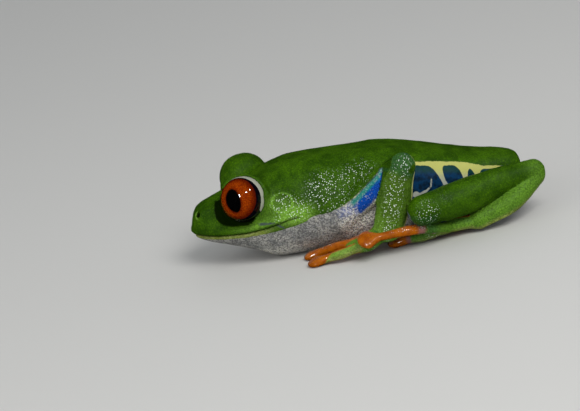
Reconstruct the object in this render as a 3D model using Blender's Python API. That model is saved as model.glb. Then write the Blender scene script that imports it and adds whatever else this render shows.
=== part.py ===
"""Red-eyed tree frog, life size, crouched at rest as a museum model.

The scene is in metres with +Z up. The snout points towards -X and the frog's left side faces -Y.
Every size and place below is in millimetres, measured back from the front of the lower lip (x),
sideways from the midline (y, the left side negative) and up from the floor (z). to_scene turns them
into metres and moves the frog so that the middle of its outline stands over the origin.
"""

import math

import bmesh
import bpy
import numpy as np
from mathutils import Vector

MM = 0.001
GAP = 0.3  # clear space between neighbouring pieces
MIDDLE_X = 31.9  # from the lower lip to the middle of the model, heels included
FLOOR = 0.0

# Body lines at stations behind the snout tip. Columns: station, half width, height of the back,
# height of the belly, height of the widest point, squareness above it and below it (2 is an
# ellipse, more is squarer). A belly below the floor is pressed flat on it.
BODY_LINES = np.array(
    (
        (-0.9, 0.8, 7.9, 6.7, 7.3, 2.0, 2.0),  # front of the snout
        (-0.5, 2.0, 9.2, 6.1, 7.5, 2.1, 2.0),
        (0.0, 2.7, 10.5, 5.6, 7.5, 2.2, 2.0),  # front of the lower lip
        (0.9, 3.6, 11.5, 5.1, 7.4, 2.3, 2.0),  # nostrils
        (3.5, 5.4, 12.5, 4.1, 7.1, 2.3, 1.9),
        (6.0, 6.7, 13.3, 3.3, 7.1, 2.3, 1.9),  # front of the eyes
        (10.0, 8.3, 14.5, 1.6, 7.3, 2.3, 2.0),  # middle of the eyes
        (15.0, 9.5, 16.7, -0.2, 7.8, 2.3, 2.3),  # eardrums
        (20.0, 10.0, 17.6, -0.4, 8.1, 2.4, 2.3),  # corners of the mouth
        (27.0, 10.5, 17.2, -0.5, 7.6, 2.5, 2.1),  # shoulders
        (35.0, 10.9, 16.7, -0.5, 6.6, 2.7, 2.2),
        (42.0, 9.7, 15.1, -0.5, 6.2, 2.9, 2.0),  # waist
        (48.0, 8.2, 13.4, -0.4, 6.0, 2.8, 2.0),
        (54.0, 6.2, 11.9, 0.8, 6.0, 2.5, 2.1),  # hips
        (58.6, 4.5, 11.1, 2.6, 6.4, 2.3, 2.0),
        (60.6, 3.0, 10.1, 4.0, 6.8, 2.2, 2.0),
        (61.4, 1.4, 8.5, 5.6, 7.0, 2.0, 2.0),  # vent
    )
)
SNOUT, VENT = BODY_LINES[0, 0], BODY_LINES[-1, 0]
END_STATIONS = (-0.7, -0.5, -0.2, 0.3, 60.1, 61.0)  # further rings where the body rounds off
BODY_SIDES = 24
BODY_STEP = 2.7  # between two rings of the body
LIMB_STEP = 3.1  # between two rings of a limb
LIMB_SIDES, DIGIT_SIDES = 10, 8
CAP_ANGLES = (38, 68)  # where the rings of a limb's round end stand
BLUNTNESS = 0.7  # below 1, a round end is fuller in depth than in width
NECK, CHEST_END, BELLY_END = 22.4, 33.5, 47.0  # where the body is parted

EYE_RADIUS = 4.2
EYE_GAP = 0.2
LID_RADIUS = 4.75
OPENING_RADIUS = 5.3
# The middle of each eye, the way its lids open, and how far in front of the middle they end. The
# head is turned a little to the right, so the right eye lies further back and looks less open.
EYES = {
    "left": (Vector((9.75, -7.0, 13.2)), Vector((-0.33, -0.875, 0.355)).normalized(), 0.3),
    "right": (Vector((10.4, -7.0, 13.2)), Vector((-0.12, -0.94, 0.3)).normalized(), 2.0),
}
NOSTRIL, NOSTRIL_RADIUS = Vector((0.93, -2.65, 10.5)), 0.42
EAR, EAR_RADIUS, EAR_DEPTH = Vector((16.5, -9.2, 11.7)), 1.9, 0.6
EAR_FACING = Vector((-0.05, -0.93, 0.36)).normalized()
MOUTH_FRONT, MOUTH_BACK = 6.3, 8.4  # height of the mouth line at the snout and at the neck cut
SLAB = 30.0  # more than the head in every direction

# Joints of each limb with the bends between them. Both sides are written as if they were the left
# one, and the right side's are mirrored. The right limbs are folded lower and lie further forward.
JOINTS = {
    "left": {
        "upper_arm": ((26.0, -8.2, 7.2), (38.8, -13.2, 15.4)),
        "forearm": ((38.9, -13.2, 15.5), (37.35, -13.1, 12.6), (36.3, -13.1, 9.3), (34.3, -13.4, 4.6)),
        "thigh": ((54.5, -4.4, 5.0), (49.0, -7.6, 4.7), (43.5, -11.2, 4.9)),
        "shank": ((41.0, -15.8, 7.3), (48.4, -12.3, 7.2), (56.1, -9.1, 7.8), (62.6, -6.7, 8.0)),
        "tarsus": ((62.5, -6.9, 7.0), (57.5, -10.6, 4.3), (51.0, -11.5, 2.3)),
    },
    "right": {
        "upper_arm": ((24.5, -8.2, 7.0), (35.5, -14.0, 10.0)),
        "forearm": ((35.5, -14.0, 10.0), (32.4, -14.5, 8.3), (29.7, -14.6, 6.5), (26.8, -14.3, 4.7)),
        "thigh": ((53.5, -4.4, 4.6), (48.0, -7.8, 4.4), (42.5, -11.4, 4.5)),
        "shank": ((39.4, -15.4, 6.3), (46.4, -12.6, 6.2), (53.0, -9.2, 6.2), (58.6, -5.6, 5.8)),
        "tarsus": ((58.6, -5.6, 5.8), (54.0, -9.0, 3.2), (46.6, -11.8, 2.2)),
    },
}
HAND_MOVE = {"left": Vector((0, 0, 0)), "right": Vector((-7.5, -0.6, 0))}
FOOT_MOVE = {"left": Vector((0, 0, 0)), "right": Vector((-4.4, -0.3, 0))}

# Half widths and half depths at those joints, and the way that the flat side faces.
LIMB_SIZES = {
    "upper_arm": ((3.1, 2.3), (2.6, 2.0), (0.35, 1.0, -0.5)),
    "forearm": ((2.2, 2.75, 3.0, 2.6), (2.2, 2.35, 2.3, 2.0), (0, -1, 0)),
    "thigh": ((3.0, 3.0, 2.3), (2.6, 2.3, 1.9), (0, 0, 1)),
    "shank": ((2.8, 3.3, 2.7, 2.15), (2.75, 3.25, 2.55, 2.05), (0, 0, 1)),
    "tarsus": ((2.1, 2.0, 1.75), (2.0, 2.05, 1.8), (0, 0, 1)),
}
PALM = ((33.2, -13.4, 4.0), (30.4, -13.4, 2.8), (28.3, -13.0, 2.4))
PALM_WIDTHS, PALM_DEPTHS = (1.6, 2.3, 2.1), (1.5, 1.75, 1.4)
SOLE = ((51.0, -11.4, 2.0), (47.3, -11.3, 2.2), (44.6, -11.5, 2.2))
SOLE_WIDTHS, SOLE_DEPTHS = (1.2, 1.9, 2.1), (1.2, 1.25, 1.15)
WEB_HALF, WEB_SAG = 0.3, 0.3  # half thickness, and share that the free edge is hollowed by
WEB_REACH = (0.1, 0.85)  # from and to which shares of the roots of two digits it joins them
WEB_LAP = 0.1  # how far it runs past the middle of each digit, as a share of its width


def rise(knots, values, x):
    """Monotone cubic through the knots, which never overshoots a value."""
    knots, values = np.asarray(knots, float), np.asarray(values, float)
    width = np.diff(knots)
    slope = np.diff(values) / width
    tangent = np.zeros(len(knots))
    tangent[0], tangent[-1] = slope[0], slope[-1]
    for k in range(1, len(knots) - 1):
        if slope[k - 1] * slope[k] > 0:
            near, far = 2 * width[k] + width[k - 1], width[k] + 2 * width[k - 1]
            tangent[k] = (near + far) / (near / slope[k - 1] + far / slope[k])
    k = int(np.clip(np.searchsorted(knots, x, side="right") - 1, 0, len(width) - 1))
    t = min(max((x - knots[k]) / width[k], 0.0), 1.0)
    start = (1 + 2 * t) * (1 - t) ** 2 * values[k] + t * (1 - t) ** 2 * width[k] * tangent[k]
    end = t * t * (3 - 2 * t) * values[k + 1] + t * t * (t - 1) * width[k] * tangent[k + 1]
    return float(start + end)


def power(value, exponent):
    """A power that keeps the sign of its base."""
    return math.copysign(abs(value) ** exponent, value)


def body_ring(station, grow=0.0):
    """Points round the body at a station, from the left flank over the belly side and back."""
    half, back, belly, widest, above, below = (
        rise(BODY_LINES[:, 0], BODY_LINES[:, column], station) for column in range(1, 7)
    )
    ring = []
    for k in range(BODY_SIDES):
        angle = 2 * math.pi * k / BODY_SIDES
        upper = math.sin(angle) >= 0
        square = above if upper else below
        reach = (back - widest if upper else widest - belly) + grow
        y = (half + grow) * power(math.cos(angle), 2 / square)
        z = widest + reach * power(math.sin(angle), 2 / square)
        ring.append((station, y, max(z, FLOOR - 3 * grow)))
    return ring


def body_rings(start, stop, grow=0.0):
    """Rings from one station to another, closer together where the snout and the rump round off."""
    count = max(2, round((stop - start) / BODY_STEP))
    stations = set(np.linspace(start, stop, count + 1))
    stations |= {s for s in END_STATIONS if start < s < stop}
    rings = [body_ring(s, grow) for s in sorted(stations)]
    if grow:
        rings[0] = [(x - grow, y, z) for x, y, z in rings[0]]
        rings[-1] = [(x + grow, y, z) for x, y, z in rings[-1]]
    return rings


class Path:
    """A smooth line through a limb's joints, measured in millimetres along it."""

    STEPS = 24

    def __init__(self, joints):
        joints = [Vector(j) for j in joints]
        ends = [2 * joints[0] - joints[1], *joints, 2 * joints[-1] - joints[-2]]
        self.points = []
        for a, b, c, d in zip(ends, ends[1:], ends[2:], ends[3:]):
            for step in range(self.STEPS):
                t = step / self.STEPS
                self.points.append(
                    0.5 * (2 * b + (c - a) * t + (2 * a - 5 * b + 4 * c - d) * t * t)
                    + 0.5 * (3 * b - a - 3 * c + d) * t**3
                )
        self.points.append(joints[-1])
        steps = [(q - p).length for p, q in zip(self.points, self.points[1:])]
        self.distances = np.concatenate([[0.0], np.cumsum(steps)])
        self.joint_distances = self.distances[:: self.STEPS]
        self.length = float(self.distances[-1])

    def at(self, distance):
        """The point at a distance along the path."""
        return Vector([np.interp(distance, self.distances, [p[k] for p in self.points]) for k in range(3)])

    def towards(self, distance):
        """The direction of the path there."""
        return (self.at(distance + 0.1) - self.at(distance - 0.1)).normalized()


def limb_rings(
    path, widths, depths, facing, start=0.0, stop=None, round_ends=(True, True), grow=0.0, sides=LIMB_SIDES
):
    """Oval rings along a path, from half widths and half depths at its joints and the flat side's way."""
    stop = path.length if stop is None else stop
    facing = Vector(facing)
    spans = max(2, round((stop - start) / LIMB_STEP))
    marks = [(start + (stop - start) * k / spans, 1.0, 0.0) for k in range(spans + 1)]
    caps = [math.radians(a) for a in CAP_ANGLES]
    if round_ends[0]:
        marks = [(start, math.cos(a), -math.sin(a)) for a in reversed(caps)] + marks
    if round_ends[1]:
        marks += [(stop, math.cos(a), math.sin(a)) for a in caps]
    rings = []
    for distance, shrink, push in marks:
        wide = rise(path.joint_distances, widths, distance) + grow
        deep = rise(path.joint_distances, depths, distance) + grow
        ahead = path.towards(min(max(distance, 0.15), path.length - 0.15))
        across = ahead.cross(facing).normalized()
        outward = across.cross(ahead).normalized()
        centre = path.at(distance) + ahead * push * wide
        ring = []
        for k in range(sides):
            angle = 2 * math.pi * k / sides
            sideways = across * (wide * shrink * math.cos(angle))
            p = centre + sideways + outward * (deep * shrink**BLUNTNESS * math.sin(angle))
            ring.append((p.x, p.y, max(p.z, FLOOR - 3 * grow)))
        rings.append(ring)
    return rings


def to_side(rings, side, move=Vector((0, 0, 0))):
    """Left-side rings moved to their place on one side, mirrored if that is the right."""
    mirror = 1 if side == "left" else -1
    return [[(x + move.x, (y + move.y) * mirror, z + move.z) for x, y, z in ring] for ring in rings]


def flip(vector, side):
    """A left-side place or direction, or its mirror image for the right side."""
    return Vector(vector) if side == "left" else Vector((vector[0], -vector[1], vector[2]))


def to_scene(place):
    """A place on the frog, in millimetres, as a location in the scene."""
    return Vector((place[0] - MIDDLE_X, place[1], place[2])) * MM


def link(obj, material=None):
    """Puts an object among the frog's pieces, or without a material among the hidden cutters."""
    for other in obj.users_collection:
        other.objects.unlink(obj)
    if material:
        obj.data.materials.append(material)
        frog.objects.link(obj)
    else:
        cutters.objects.link(obj)
        obj.hide_render = True
        obj.display_type = "WIRE"
    obj.data.shade_smooth()
    return obj


def add_loft(name, rings, material=None):
    """A closed loft through rings of equal count, with its origin in the middle of its first ring."""
    origin = sum((Vector(p) for p in rings[0]), Vector()) / len(rings[0])
    shape = bmesh.new()
    grid = [[shape.verts.new((Vector(p) - origin) * MM) for p in ring] for ring in rings]
    count = len(rings[0])
    for lower, upper in zip(grid, grid[1:]):
        for k in range(count):
            shape.faces.new((lower[k], lower[(k + 1) % count], upper[(k + 1) % count], upper[k]))
    shape.faces.new(grid[0][::-1])
    shape.faces.new(grid[-1])
    bmesh.ops.triangulate(shape, faces=[f for f in shape.faces if len(f.verts) > 4])
    bmesh.ops.recalc_face_normals(shape, faces=shape.faces)
    mesh = bpy.data.meshes.new(name)
    shape.to_mesh(mesh)
    shape.free()
    obj = bpy.data.objects.new(name, mesh)
    obj.location = to_scene(origin)
    return link(obj, material)


def add_ball(name, centre, radius, material=None, segments=20, facing=None, depth=None):
    """A ball, or with a depth a lens that faces one way."""
    bpy.ops.mesh.primitive_uv_sphere_add(
        segments=segments, ring_count=segments * 2 // 3, radius=radius * MM, location=to_scene(centre)
    )
    obj = bpy.context.object
    obj.name = obj.data.name = name
    if facing:
        obj.rotation_euler = facing.to_track_quat("Z", "Y").to_euler()
        obj.scale = (1, 1, depth / radius)
    return link(obj, material)


def change(obj, tool, operation="DIFFERENCE"):
    """Cuts a tool out of a piece, or joins it on."""
    modifier = obj.modifiers.new(f"{operation.lower()} {tool.name}", "BOOLEAN")
    modifier.operation, modifier.solver, modifier.object = operation, "EXACT", tool


def finish(name, colour, roughness, coat=0.0):
    """A Principled material of one colour."""
    material = bpy.data.materials.new(name)
    material.use_nodes = True
    shader = material.node_tree.nodes["Principled BSDF"]
    shader.inputs["Base Color"].default_value = (*colour, 1.0)
    shader.inputs["Roughness"].default_value = roughness
    shader.inputs["Metallic"].default_value = 0.0
    shader.inputs["Coat Weight"].default_value = coat
    return material


def make_body():
    """Head, lower jaw, chest, belly and rump, as lengths of one loft. Returns the room they take."""
    head = add_loft("head", body_rings(SNOUT, NECK - GAP / 2), green)
    jaw = add_loft("lower_jaw", body_rings(0.0, NECK - GAP / 2), white)
    add_loft("chest", body_rings(NECK + GAP / 2, CHEST_END - GAP / 2), green)
    add_loft("belly", body_rings(CHEST_END + GAP / 2, BELLY_END - GAP / 2), blue)
    add_loft("rump", body_rings(BELLY_END + GAP / 2, VENT), green)
    change(head, mouth_slab("below_mouth", GAP / 2, -SLAB))
    change(jaw, mouth_slab("above_mouth", -GAP / 2, SLAB))
    for side in ("left", "right"):
        make_eye(head, side)
        make_ear(head, side)
        change(head, add_ball(f"nostril_{side}", flip(NOSTRIL, side), NOSTRIL_RADIUS, segments=6))
    return add_loft("body_room", body_rings(SNOUT, VENT, grow=GAP))


def mouth_slab(name, lift, height):
    """All that lies above, or below, the mouth line, as a tool."""
    ends = ((SNOUT - 2.0, MOUTH_FRONT), (NECK + 2.0, MOUTH_BACK))
    corners = ((-SLAB, 0), (SLAB, 0), (SLAB, height), (-SLAB, height))
    return add_loft(name, [[(x, y, line + lift + z) for y, z in corners] for x, line in ends])


def make_eye(head, side):
    """An eyeball in its socket, under a lid that ends just in front of the eye's middle."""
    centre, axis, lid_edge = EYES[side]
    centre, axis = flip(centre, side), flip(axis, side)
    add_ball(f"eye_{side}", centre, EYE_RADIUS, red, segments=14)
    change(head, add_ball(f"lid_{side}", centre, LID_RADIUS, segments=16), "UNION")
    bpy.ops.mesh.primitive_cylinder_add(
        vertices=20,
        radius=OPENING_RADIUS * MM,
        depth=2 * OPENING_RADIUS * MM,
        location=to_scene(centre + axis * (lid_edge + OPENING_RADIUS)),
        rotation=axis.to_track_quat("Z", "Y").to_euler(),
    )
    opening = link(bpy.context.object)
    opening.name = f"eye_opening_{side}"
    change(head, opening)
    change(head, add_ball(f"socket_{side}", centre, EYE_RADIUS + EYE_GAP, segments=16))


def make_ear(head, side):
    """An eardrum, a thin lens let into the side of the head."""
    centre, facing = flip(EAR, side), flip(EAR_FACING, side)
    add_ball(f"eardrum_{side}", centre, EAR_RADIUS, green, 10, facing, EAR_DEPTH)
    seat_radius, seat_depth = EAR_RADIUS + EYE_GAP, EAR_DEPTH + EYE_GAP
    change(head, add_ball(f"ear_seat_{side}", centre, seat_radius, None, 10, facing, seat_depth))


class Digit:
    """One finger or toe: knuckle, middle joint, neck and round pad, all as on the left side."""

    WIDTHS = (1.0, 1.0, 0.85)  # half sizes of the stoutest digit
    DEPTHS = (0.95, 0.95, 0.8)
    PAD_DEPTH = 0.8
    NECK_LENGTH = 2.4

    def __init__(self, name, knuckle, middle, pad, pad_radius, web_end, girth=1.0, facing=(0, 0, 1)):
        knuckle, middle, pad = Vector(knuckle), Vector(middle), Vector(pad)
        neck = pad.lerp(middle, min(self.NECK_LENGTH / (middle - pad).length, 0.6))
        self.name = name
        self.path = Path((knuckle, middle, neck, pad))
        self.widths = (*(width * girth for width in self.WIDTHS), pad_radius)
        self.depths = (*(depth * girth for depth in self.DEPTHS), self.PAD_DEPTH)
        self.web_end = web_end  # share of the length that is joined to the web
        self.facing = facing  # the way that the pad's back faces

    def rings(self, part, grow=0.0):
        """The root that belongs to the hand or foot, or the free tip."""
        cut = self.web_end * self.path.length
        start, stop = (0, cut - GAP / 2) if part == "root" else (cut + GAP / 2, None)
        ends = (part == "root", part == "tip")
        sizes = (self.widths, self.depths, self.facing)
        return limb_rings(self.path, *sizes, start, stop, ends, grow, DIGIT_SIDES)


FINGERS = (
    Digit("finger_4", (29.2, -14.5, 2.6), (25.2, -14.3, 1.7), (20.8, -13.0, 0.77), 1.9, 0.42),
    Digit("finger_3", (28.8, -12.7, 2.9), (25.0, -11.4, 2.3), (20.2, -8.8, 0.77), 1.75, 0.42, 0.95),
    Digit("finger_2", (29.4, -11.8, 2.8), (27.2, -10.3, 1.9), (24.3, -8.1, 0.77), 1.5, 0.4, 0.85),
    Digit("finger_1", (30.8, -11.4, 2.9), (30.1, -9.9, 1.8), (28.3, -8.3, 0.77), 1.3, 0.35, 0.8),
)
INNER_TOES = (
    Digit("toe_3", (44.2, -11.3, 1.9), (42.0, -10.4, 1.15), (39.3, -9.4, 0.77), 1.55, 0.45, 0.7),
    Digit("toe_2", (45.6, -10.3, 1.8), (44.4, -9.0, 1.1), (42.8, -8.0, 0.77), 1.3, 0.42, 0.7),
    Digit("toe_1", (47.2, -9.9, 1.6), (47.0, -8.7, 1.05), (46.2, -7.2, 0.77), 1.1, 0.35, 0.7),
)
FIFTH_TOE = Digit("toe_5", (44.6, -12.1, 2.0), (40.6, -12.2, 1.3), (35.7, -10.9, 0.77), 1.85, 0.4, 0.9)
LIFTED_FACING = (0, -0.5, 0.86)
FOURTH_TOE = {
    # The left one is lifted and lies over the wrist.
    "left": Digit(
        "toe_4", (44.9, -13.2, 2.5), (38.6, -16.2, 4.2), (30.4, -16.9, 4.3), 2.05, 0.34, 0.92, LIFTED_FACING
    ),
    "right": Digit("toe_4", (44.7, -12.9, 2.1), (40.2, -14.8, 1.3), (33.6, -16.4, 0.77), 1.9, 0.38, 0.9),
}


def web_rings(first, second):
    """A thin sheet between the roots of two digits, hollowed at its free edge."""
    rings = []
    for row in np.linspace(*WEB_REACH, 3):
        top, bottom = [], []
        for share, sag in ((-WEB_LAP, 0.0), (0.5, WEB_SAG), (1 + WEB_LAP, 0.0)):
            reach = row * (1 - sag)
            a = first.path.at(reach * first.web_end * first.path.length)
            b = second.path.at(reach * second.web_end * second.path.length)
            p = a.lerp(b, share)
            top.append((p.x, p.y, p.z + WEB_HALF))
            bottom.append((p.x, p.y, p.z - WEB_HALF))
        rings.append(top + bottom[::-1])
    return rings


def make_paw(name, side, palm, widths, depths, digits, move):
    """A palm or sole with the webbed roots of its digits as one piece, and each free tip as another.
    Returns the palm and the room it takes."""
    path, facing = Path(palm), (0, 0, 1)
    paw_rings = limb_rings(path, widths, depths, facing)
    paw = add_loft(f"{name}_{side}", to_side(paw_rings, side, move), orange)
    room_rings = limb_rings(path, widths, depths, facing, grow=GAP)
    room = add_loft(f"{name}_room_{side}", to_side(room_rings, side, move))
    for digit in digits:
        root = add_loft(f"{digit.name}_root_{side}", to_side(digit.rings("root"), side, move))
        change(paw, root, "UNION")
        add_loft(f"{digit.name}_{side}", to_side(digit.rings("tip"), side, move), orange)
    for first, second in zip(digits, digits[1:]):
        web = add_loft(f"{first.name}_web_{side}", to_side(web_rings(first, second), side, move))
        change(paw, web, "UNION")
    return paw, room


def make_limb(name, side, material):
    """One length of an arm or leg. Returns it and the room it takes."""
    path = Path(JOINTS[side][name])
    rings = limb_rings(path, *LIMB_SIZES[name])
    room_rings = limb_rings(path, *LIMB_SIZES[name], grow=GAP)
    piece = add_loft(f"{name}_{side}", to_side(rings, side), material)
    return piece, add_loft(f"{name}_room_{side}", to_side(room_rings, side))


def make_arm(side, body_room):
    """Upper arm along the flank, forearm standing outside it, and the hand."""
    upper, _ = make_limb("upper_arm", side, blue)
    fore, fore_room = make_limb("forearm", side, green)
    hand, _ = make_paw("hand", side, PALM, PALM_WIDTHS, PALM_DEPTHS, FINGERS, HAND_MOVE[side])
    for piece in (upper, fore, hand):
        change(piece, body_room)
    for piece in (upper, hand):
        change(piece, fore_room)
    return fore_room


def make_leg(side, body_room, fore_room):
    """Thigh, shank folded back along it, tarsus folded forward under the shank, and the foot."""
    shank, shank_room = make_limb("shank", side, green)
    thigh, _ = make_limb("thigh", side, blue)
    tarsus, tarsus_room = make_limb("tarsus", side, green)
    toes = (FOURTH_TOE[side], FIFTH_TOE, *INNER_TOES)
    foot, foot_room = make_paw("foot", side, SOLE, SOLE_WIDTHS, SOLE_DEPTHS, toes, FOOT_MOVE[side])
    for piece, rooms in (
        (shank, (body_room, fore_room)),
        (tarsus, (shank_room,)),
        (foot, (tarsus_room, shank_room)),
        (thigh, (body_room, shank_room, tarsus_room, foot_room)),
        (bpy.data.objects[f"toe_4_{side}"], (shank_room,)),
    ):
        for room in rooms:
            change(piece, room)


for leftover in list(bpy.data.objects):
    bpy.data.objects.remove(leftover)
frog = bpy.data.collections.new("red_eyed_tree_frog")
cutters = bpy.data.collections.new("cutters")
for made in (frog, cutters):
    bpy.context.scene.collection.children.link(made)
green = finish("leaf green skin", (0.10, 0.30, 0.02), 0.45, 0.3)
white = finish("white throat skin", (0.62, 0.62, 0.56), 0.5)
blue = finish("blue flank skin", (0.01, 0.10, 0.42), 0.45, 0.2)
orange = finish("orange foot skin", (0.72, 0.19, 0.01), 0.3, 0.5)
red = finish("red eye", (0.45, 0.03, 0.01), 0.1, 1.0)

room_for_body = make_body()
for flank in ("left", "right"):
    make_leg(flank, room_for_body, make_arm(flank, room_for_body))
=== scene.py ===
"""Looks of the red-eyed tree frog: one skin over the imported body, and its two eyes.

Places on the frog are in millimetres: x back from the front of the lower lip, y sideways with the left
side negative, and z up from the floor. to_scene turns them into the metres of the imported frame.
"""

import logging
import math
from dataclasses import dataclass, field
from enum import Enum
from itertools import product
from typing import Callable, Sequence

import bpy
import numpy as np
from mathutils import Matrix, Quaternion, Vector


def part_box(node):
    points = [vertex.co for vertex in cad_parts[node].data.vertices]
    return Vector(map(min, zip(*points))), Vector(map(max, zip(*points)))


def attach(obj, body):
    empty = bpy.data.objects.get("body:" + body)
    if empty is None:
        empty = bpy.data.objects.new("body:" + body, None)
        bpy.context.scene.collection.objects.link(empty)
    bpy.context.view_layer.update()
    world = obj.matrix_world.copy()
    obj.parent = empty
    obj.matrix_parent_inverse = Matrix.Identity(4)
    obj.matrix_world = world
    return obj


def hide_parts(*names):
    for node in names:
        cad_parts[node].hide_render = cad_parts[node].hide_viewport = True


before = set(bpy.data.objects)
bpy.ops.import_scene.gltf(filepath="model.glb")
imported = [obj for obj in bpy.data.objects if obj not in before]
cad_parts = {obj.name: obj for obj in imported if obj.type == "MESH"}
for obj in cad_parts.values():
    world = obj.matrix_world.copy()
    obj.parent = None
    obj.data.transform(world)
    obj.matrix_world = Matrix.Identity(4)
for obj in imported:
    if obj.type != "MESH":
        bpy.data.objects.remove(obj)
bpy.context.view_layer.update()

log = logging.getLogger("tree_frog")
Array = np.ndarray
Point = tuple[float, float, float]
Colour = tuple[float, float, float]
MM = 0.001
HIDDEN = -3.0  # value of a border's mask far from the border, which is its zero line
CORNERS = tuple(product((0, 1), repeat=3))
AXES = np.eye(3, dtype=int)


class Side(Enum):
    """A side of the frog, with the sign that turns left-side places into its own."""

    LEFT = 1
    RIGHT = -1

    @property
    def word(self) -> str:
        """The side's name, as the nodes have it."""
        return self.name.lower()


# ---------------------------------------------------------------- numbers and lines


def rise(knots: Sequence[float], values: Sequence[float], x: Array) -> Array:
    """Monotone cubic through the knots, which never overshoots a value.

    Args:
        knots: Places of the values, in rising order.
        values: The value at each knot.
        x: Places to read.

    Returns:
        The value at each place, held level beyond the ends.
    """
    knots, values = np.asarray(knots, float), np.asarray(values, float)
    width = np.diff(knots)
    slope = np.diff(values) / width
    tangent = np.zeros(len(knots))
    tangent[0], tangent[-1] = slope[0], slope[-1]
    for k in range(1, len(knots) - 1):
        if slope[k - 1] * slope[k] > 0:
            near, far = 2 * width[k] + width[k - 1], width[k] + 2 * width[k - 1]
            tangent[k] = (near + far) / (near / slope[k - 1] + far / slope[k])
    k = np.clip(np.searchsorted(knots, x, side="right") - 1, 0, len(width) - 1)
    t = np.clip((x - knots[k]) / width[k], 0, 1)
    start = (1 + 2 * t) * (1 - t) ** 2 * values[k] + t * (1 - t) ** 2 * width[k] * tangent[k]
    end = t * t * (3 - 2 * t) * values[k + 1] + t * t * (t - 1) * width[k] * tangent[k + 1]
    return start + end


def ease(low: float, high: float, x: Array) -> Array:
    """0 below low, 1 above high, and a soft step between them. Low may be the larger."""
    t = np.clip((x - low) / (high - low), 0, 1)
    return t * t * (3 - 2 * t)


def within(x: Array, first: float, full: float, falling: float, last: float) -> Array:
    """1 from full to falling, with soft steps from 0 at first and to 0 at last."""
    return ease(first, full, x) * ease(last, falling, x)


def bell(x: Array, width: float) -> Array:
    """1 at zero, fading to nothing at about twice the width."""
    return np.exp(-((x / width) ** 2))


def smooth_min(a: Array, b: Array, blend: Array | float) -> Array:
    """The lesser of two distances, rounded where they meet."""
    mix = np.clip(0.5 + 0.5 * (b - a) / blend, 0, 1)
    return b * (1 - mix) + a * mix - blend * mix * (1 - mix)


def smooth_max(a: Array, b: Array, blend: float) -> Array:
    """The greater of two distances, rounded where they meet."""
    return -smooth_min(-a, -b, blend)


def unit(vector: Sequence[float]) -> Array:
    """The same direction, one long."""
    vector = np.asarray(vector, float)
    return vector / np.linalg.norm(vector)


def apart(points: Array, place: Sequence[float] | Array) -> Array:
    """Distance from each place to one place, or to its own partner."""
    return np.linalg.norm(points - place, axis=1)


def squared_gaps(points: Array, others: Array) -> Array:
    """Squared distance from each place, a row, to each of the others, a column."""
    return (points**2).sum(axis=1)[:, None] - 2 * points @ others.T + (others**2).sum(axis=1)


def to_left(points: Array) -> Array:
    """Each place, or its mirror image if it lies on the right side."""
    return points * (1, 0, 1) - np.abs(points) * (0, 1, 0)


def wrap(turn: Array, seam: float) -> Array:
    """Degrees counted up to a seam, and from below zero beyond it."""
    return np.where(turn > seam, turn - 360, turn)


def room(low: Array, high: Array, side: Side) -> tuple[Array, Array]:
    """Two corners given as on the left side, turned into those of a side."""
    if side is Side.RIGHT:
        low[1], high[1] = -high[1], -low[1]
    return low, high


def to_line(points: Array, line: Sequence[Sequence[float]]) -> tuple[Array, Array]:
    """Nearest distance to a bent line, in the flat or in space.

    Args:
        points: One row for each place.
        line: Corners of the line, with as many numbers as a row.

    Returns:
        The distance, and how far along the line the nearest place is, as a share of its length.
    """
    corners = np.asarray(line, float)
    lengths = apart(corners[1:], corners[:-1])
    best = np.full(len(points), 1e9)
    share = np.zeros(len(points))
    travelled = 0.0
    for start, stop, length in zip(corners, corners[1:], lengths):
        ahead = (stop - start) / length
        t = np.clip((points - start) @ ahead, 0, length)
        distance = apart(points - start, t[:, None] * ahead)
        closer = distance < best
        best[closer] = distance[closer]
        share[closer] = (travelled + t[closer]) / lengths.sum()
        travelled += length
    return best, share


class Noise:
    """Smooth random values in space, the same on every run."""

    SIZE = 32

    def __init__(self, seed: int) -> None:
        """Fills the table of values at whole places."""
        self.table = np.random.default_rng(seed).uniform(-1, 1, (self.SIZE,) * 3)

    def __call__(self, points: Array, size: float | Point) -> Array:
        """Values between -1 and 1 that change over about one size.

        Args:
            points: One row of x, y and z for each place.
            size: Millimetres between two random values, alike or different along each axis.

        Returns:
            One value for each place.
        """
        cell = points / np.asarray(size, float)
        base = np.floor(cell).astype(int)
        t = cell - base
        t = t * t * (3 - 2 * t)
        total = np.zeros(len(points))
        for corner in CORNERS:
            weight = np.prod(np.where(corner, t, 1 - t), axis=1)
            total += weight * self.table[tuple(((base + corner) % self.SIZE).T)]
        return total


# ---------------------------------------------------------------- the shape


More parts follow.
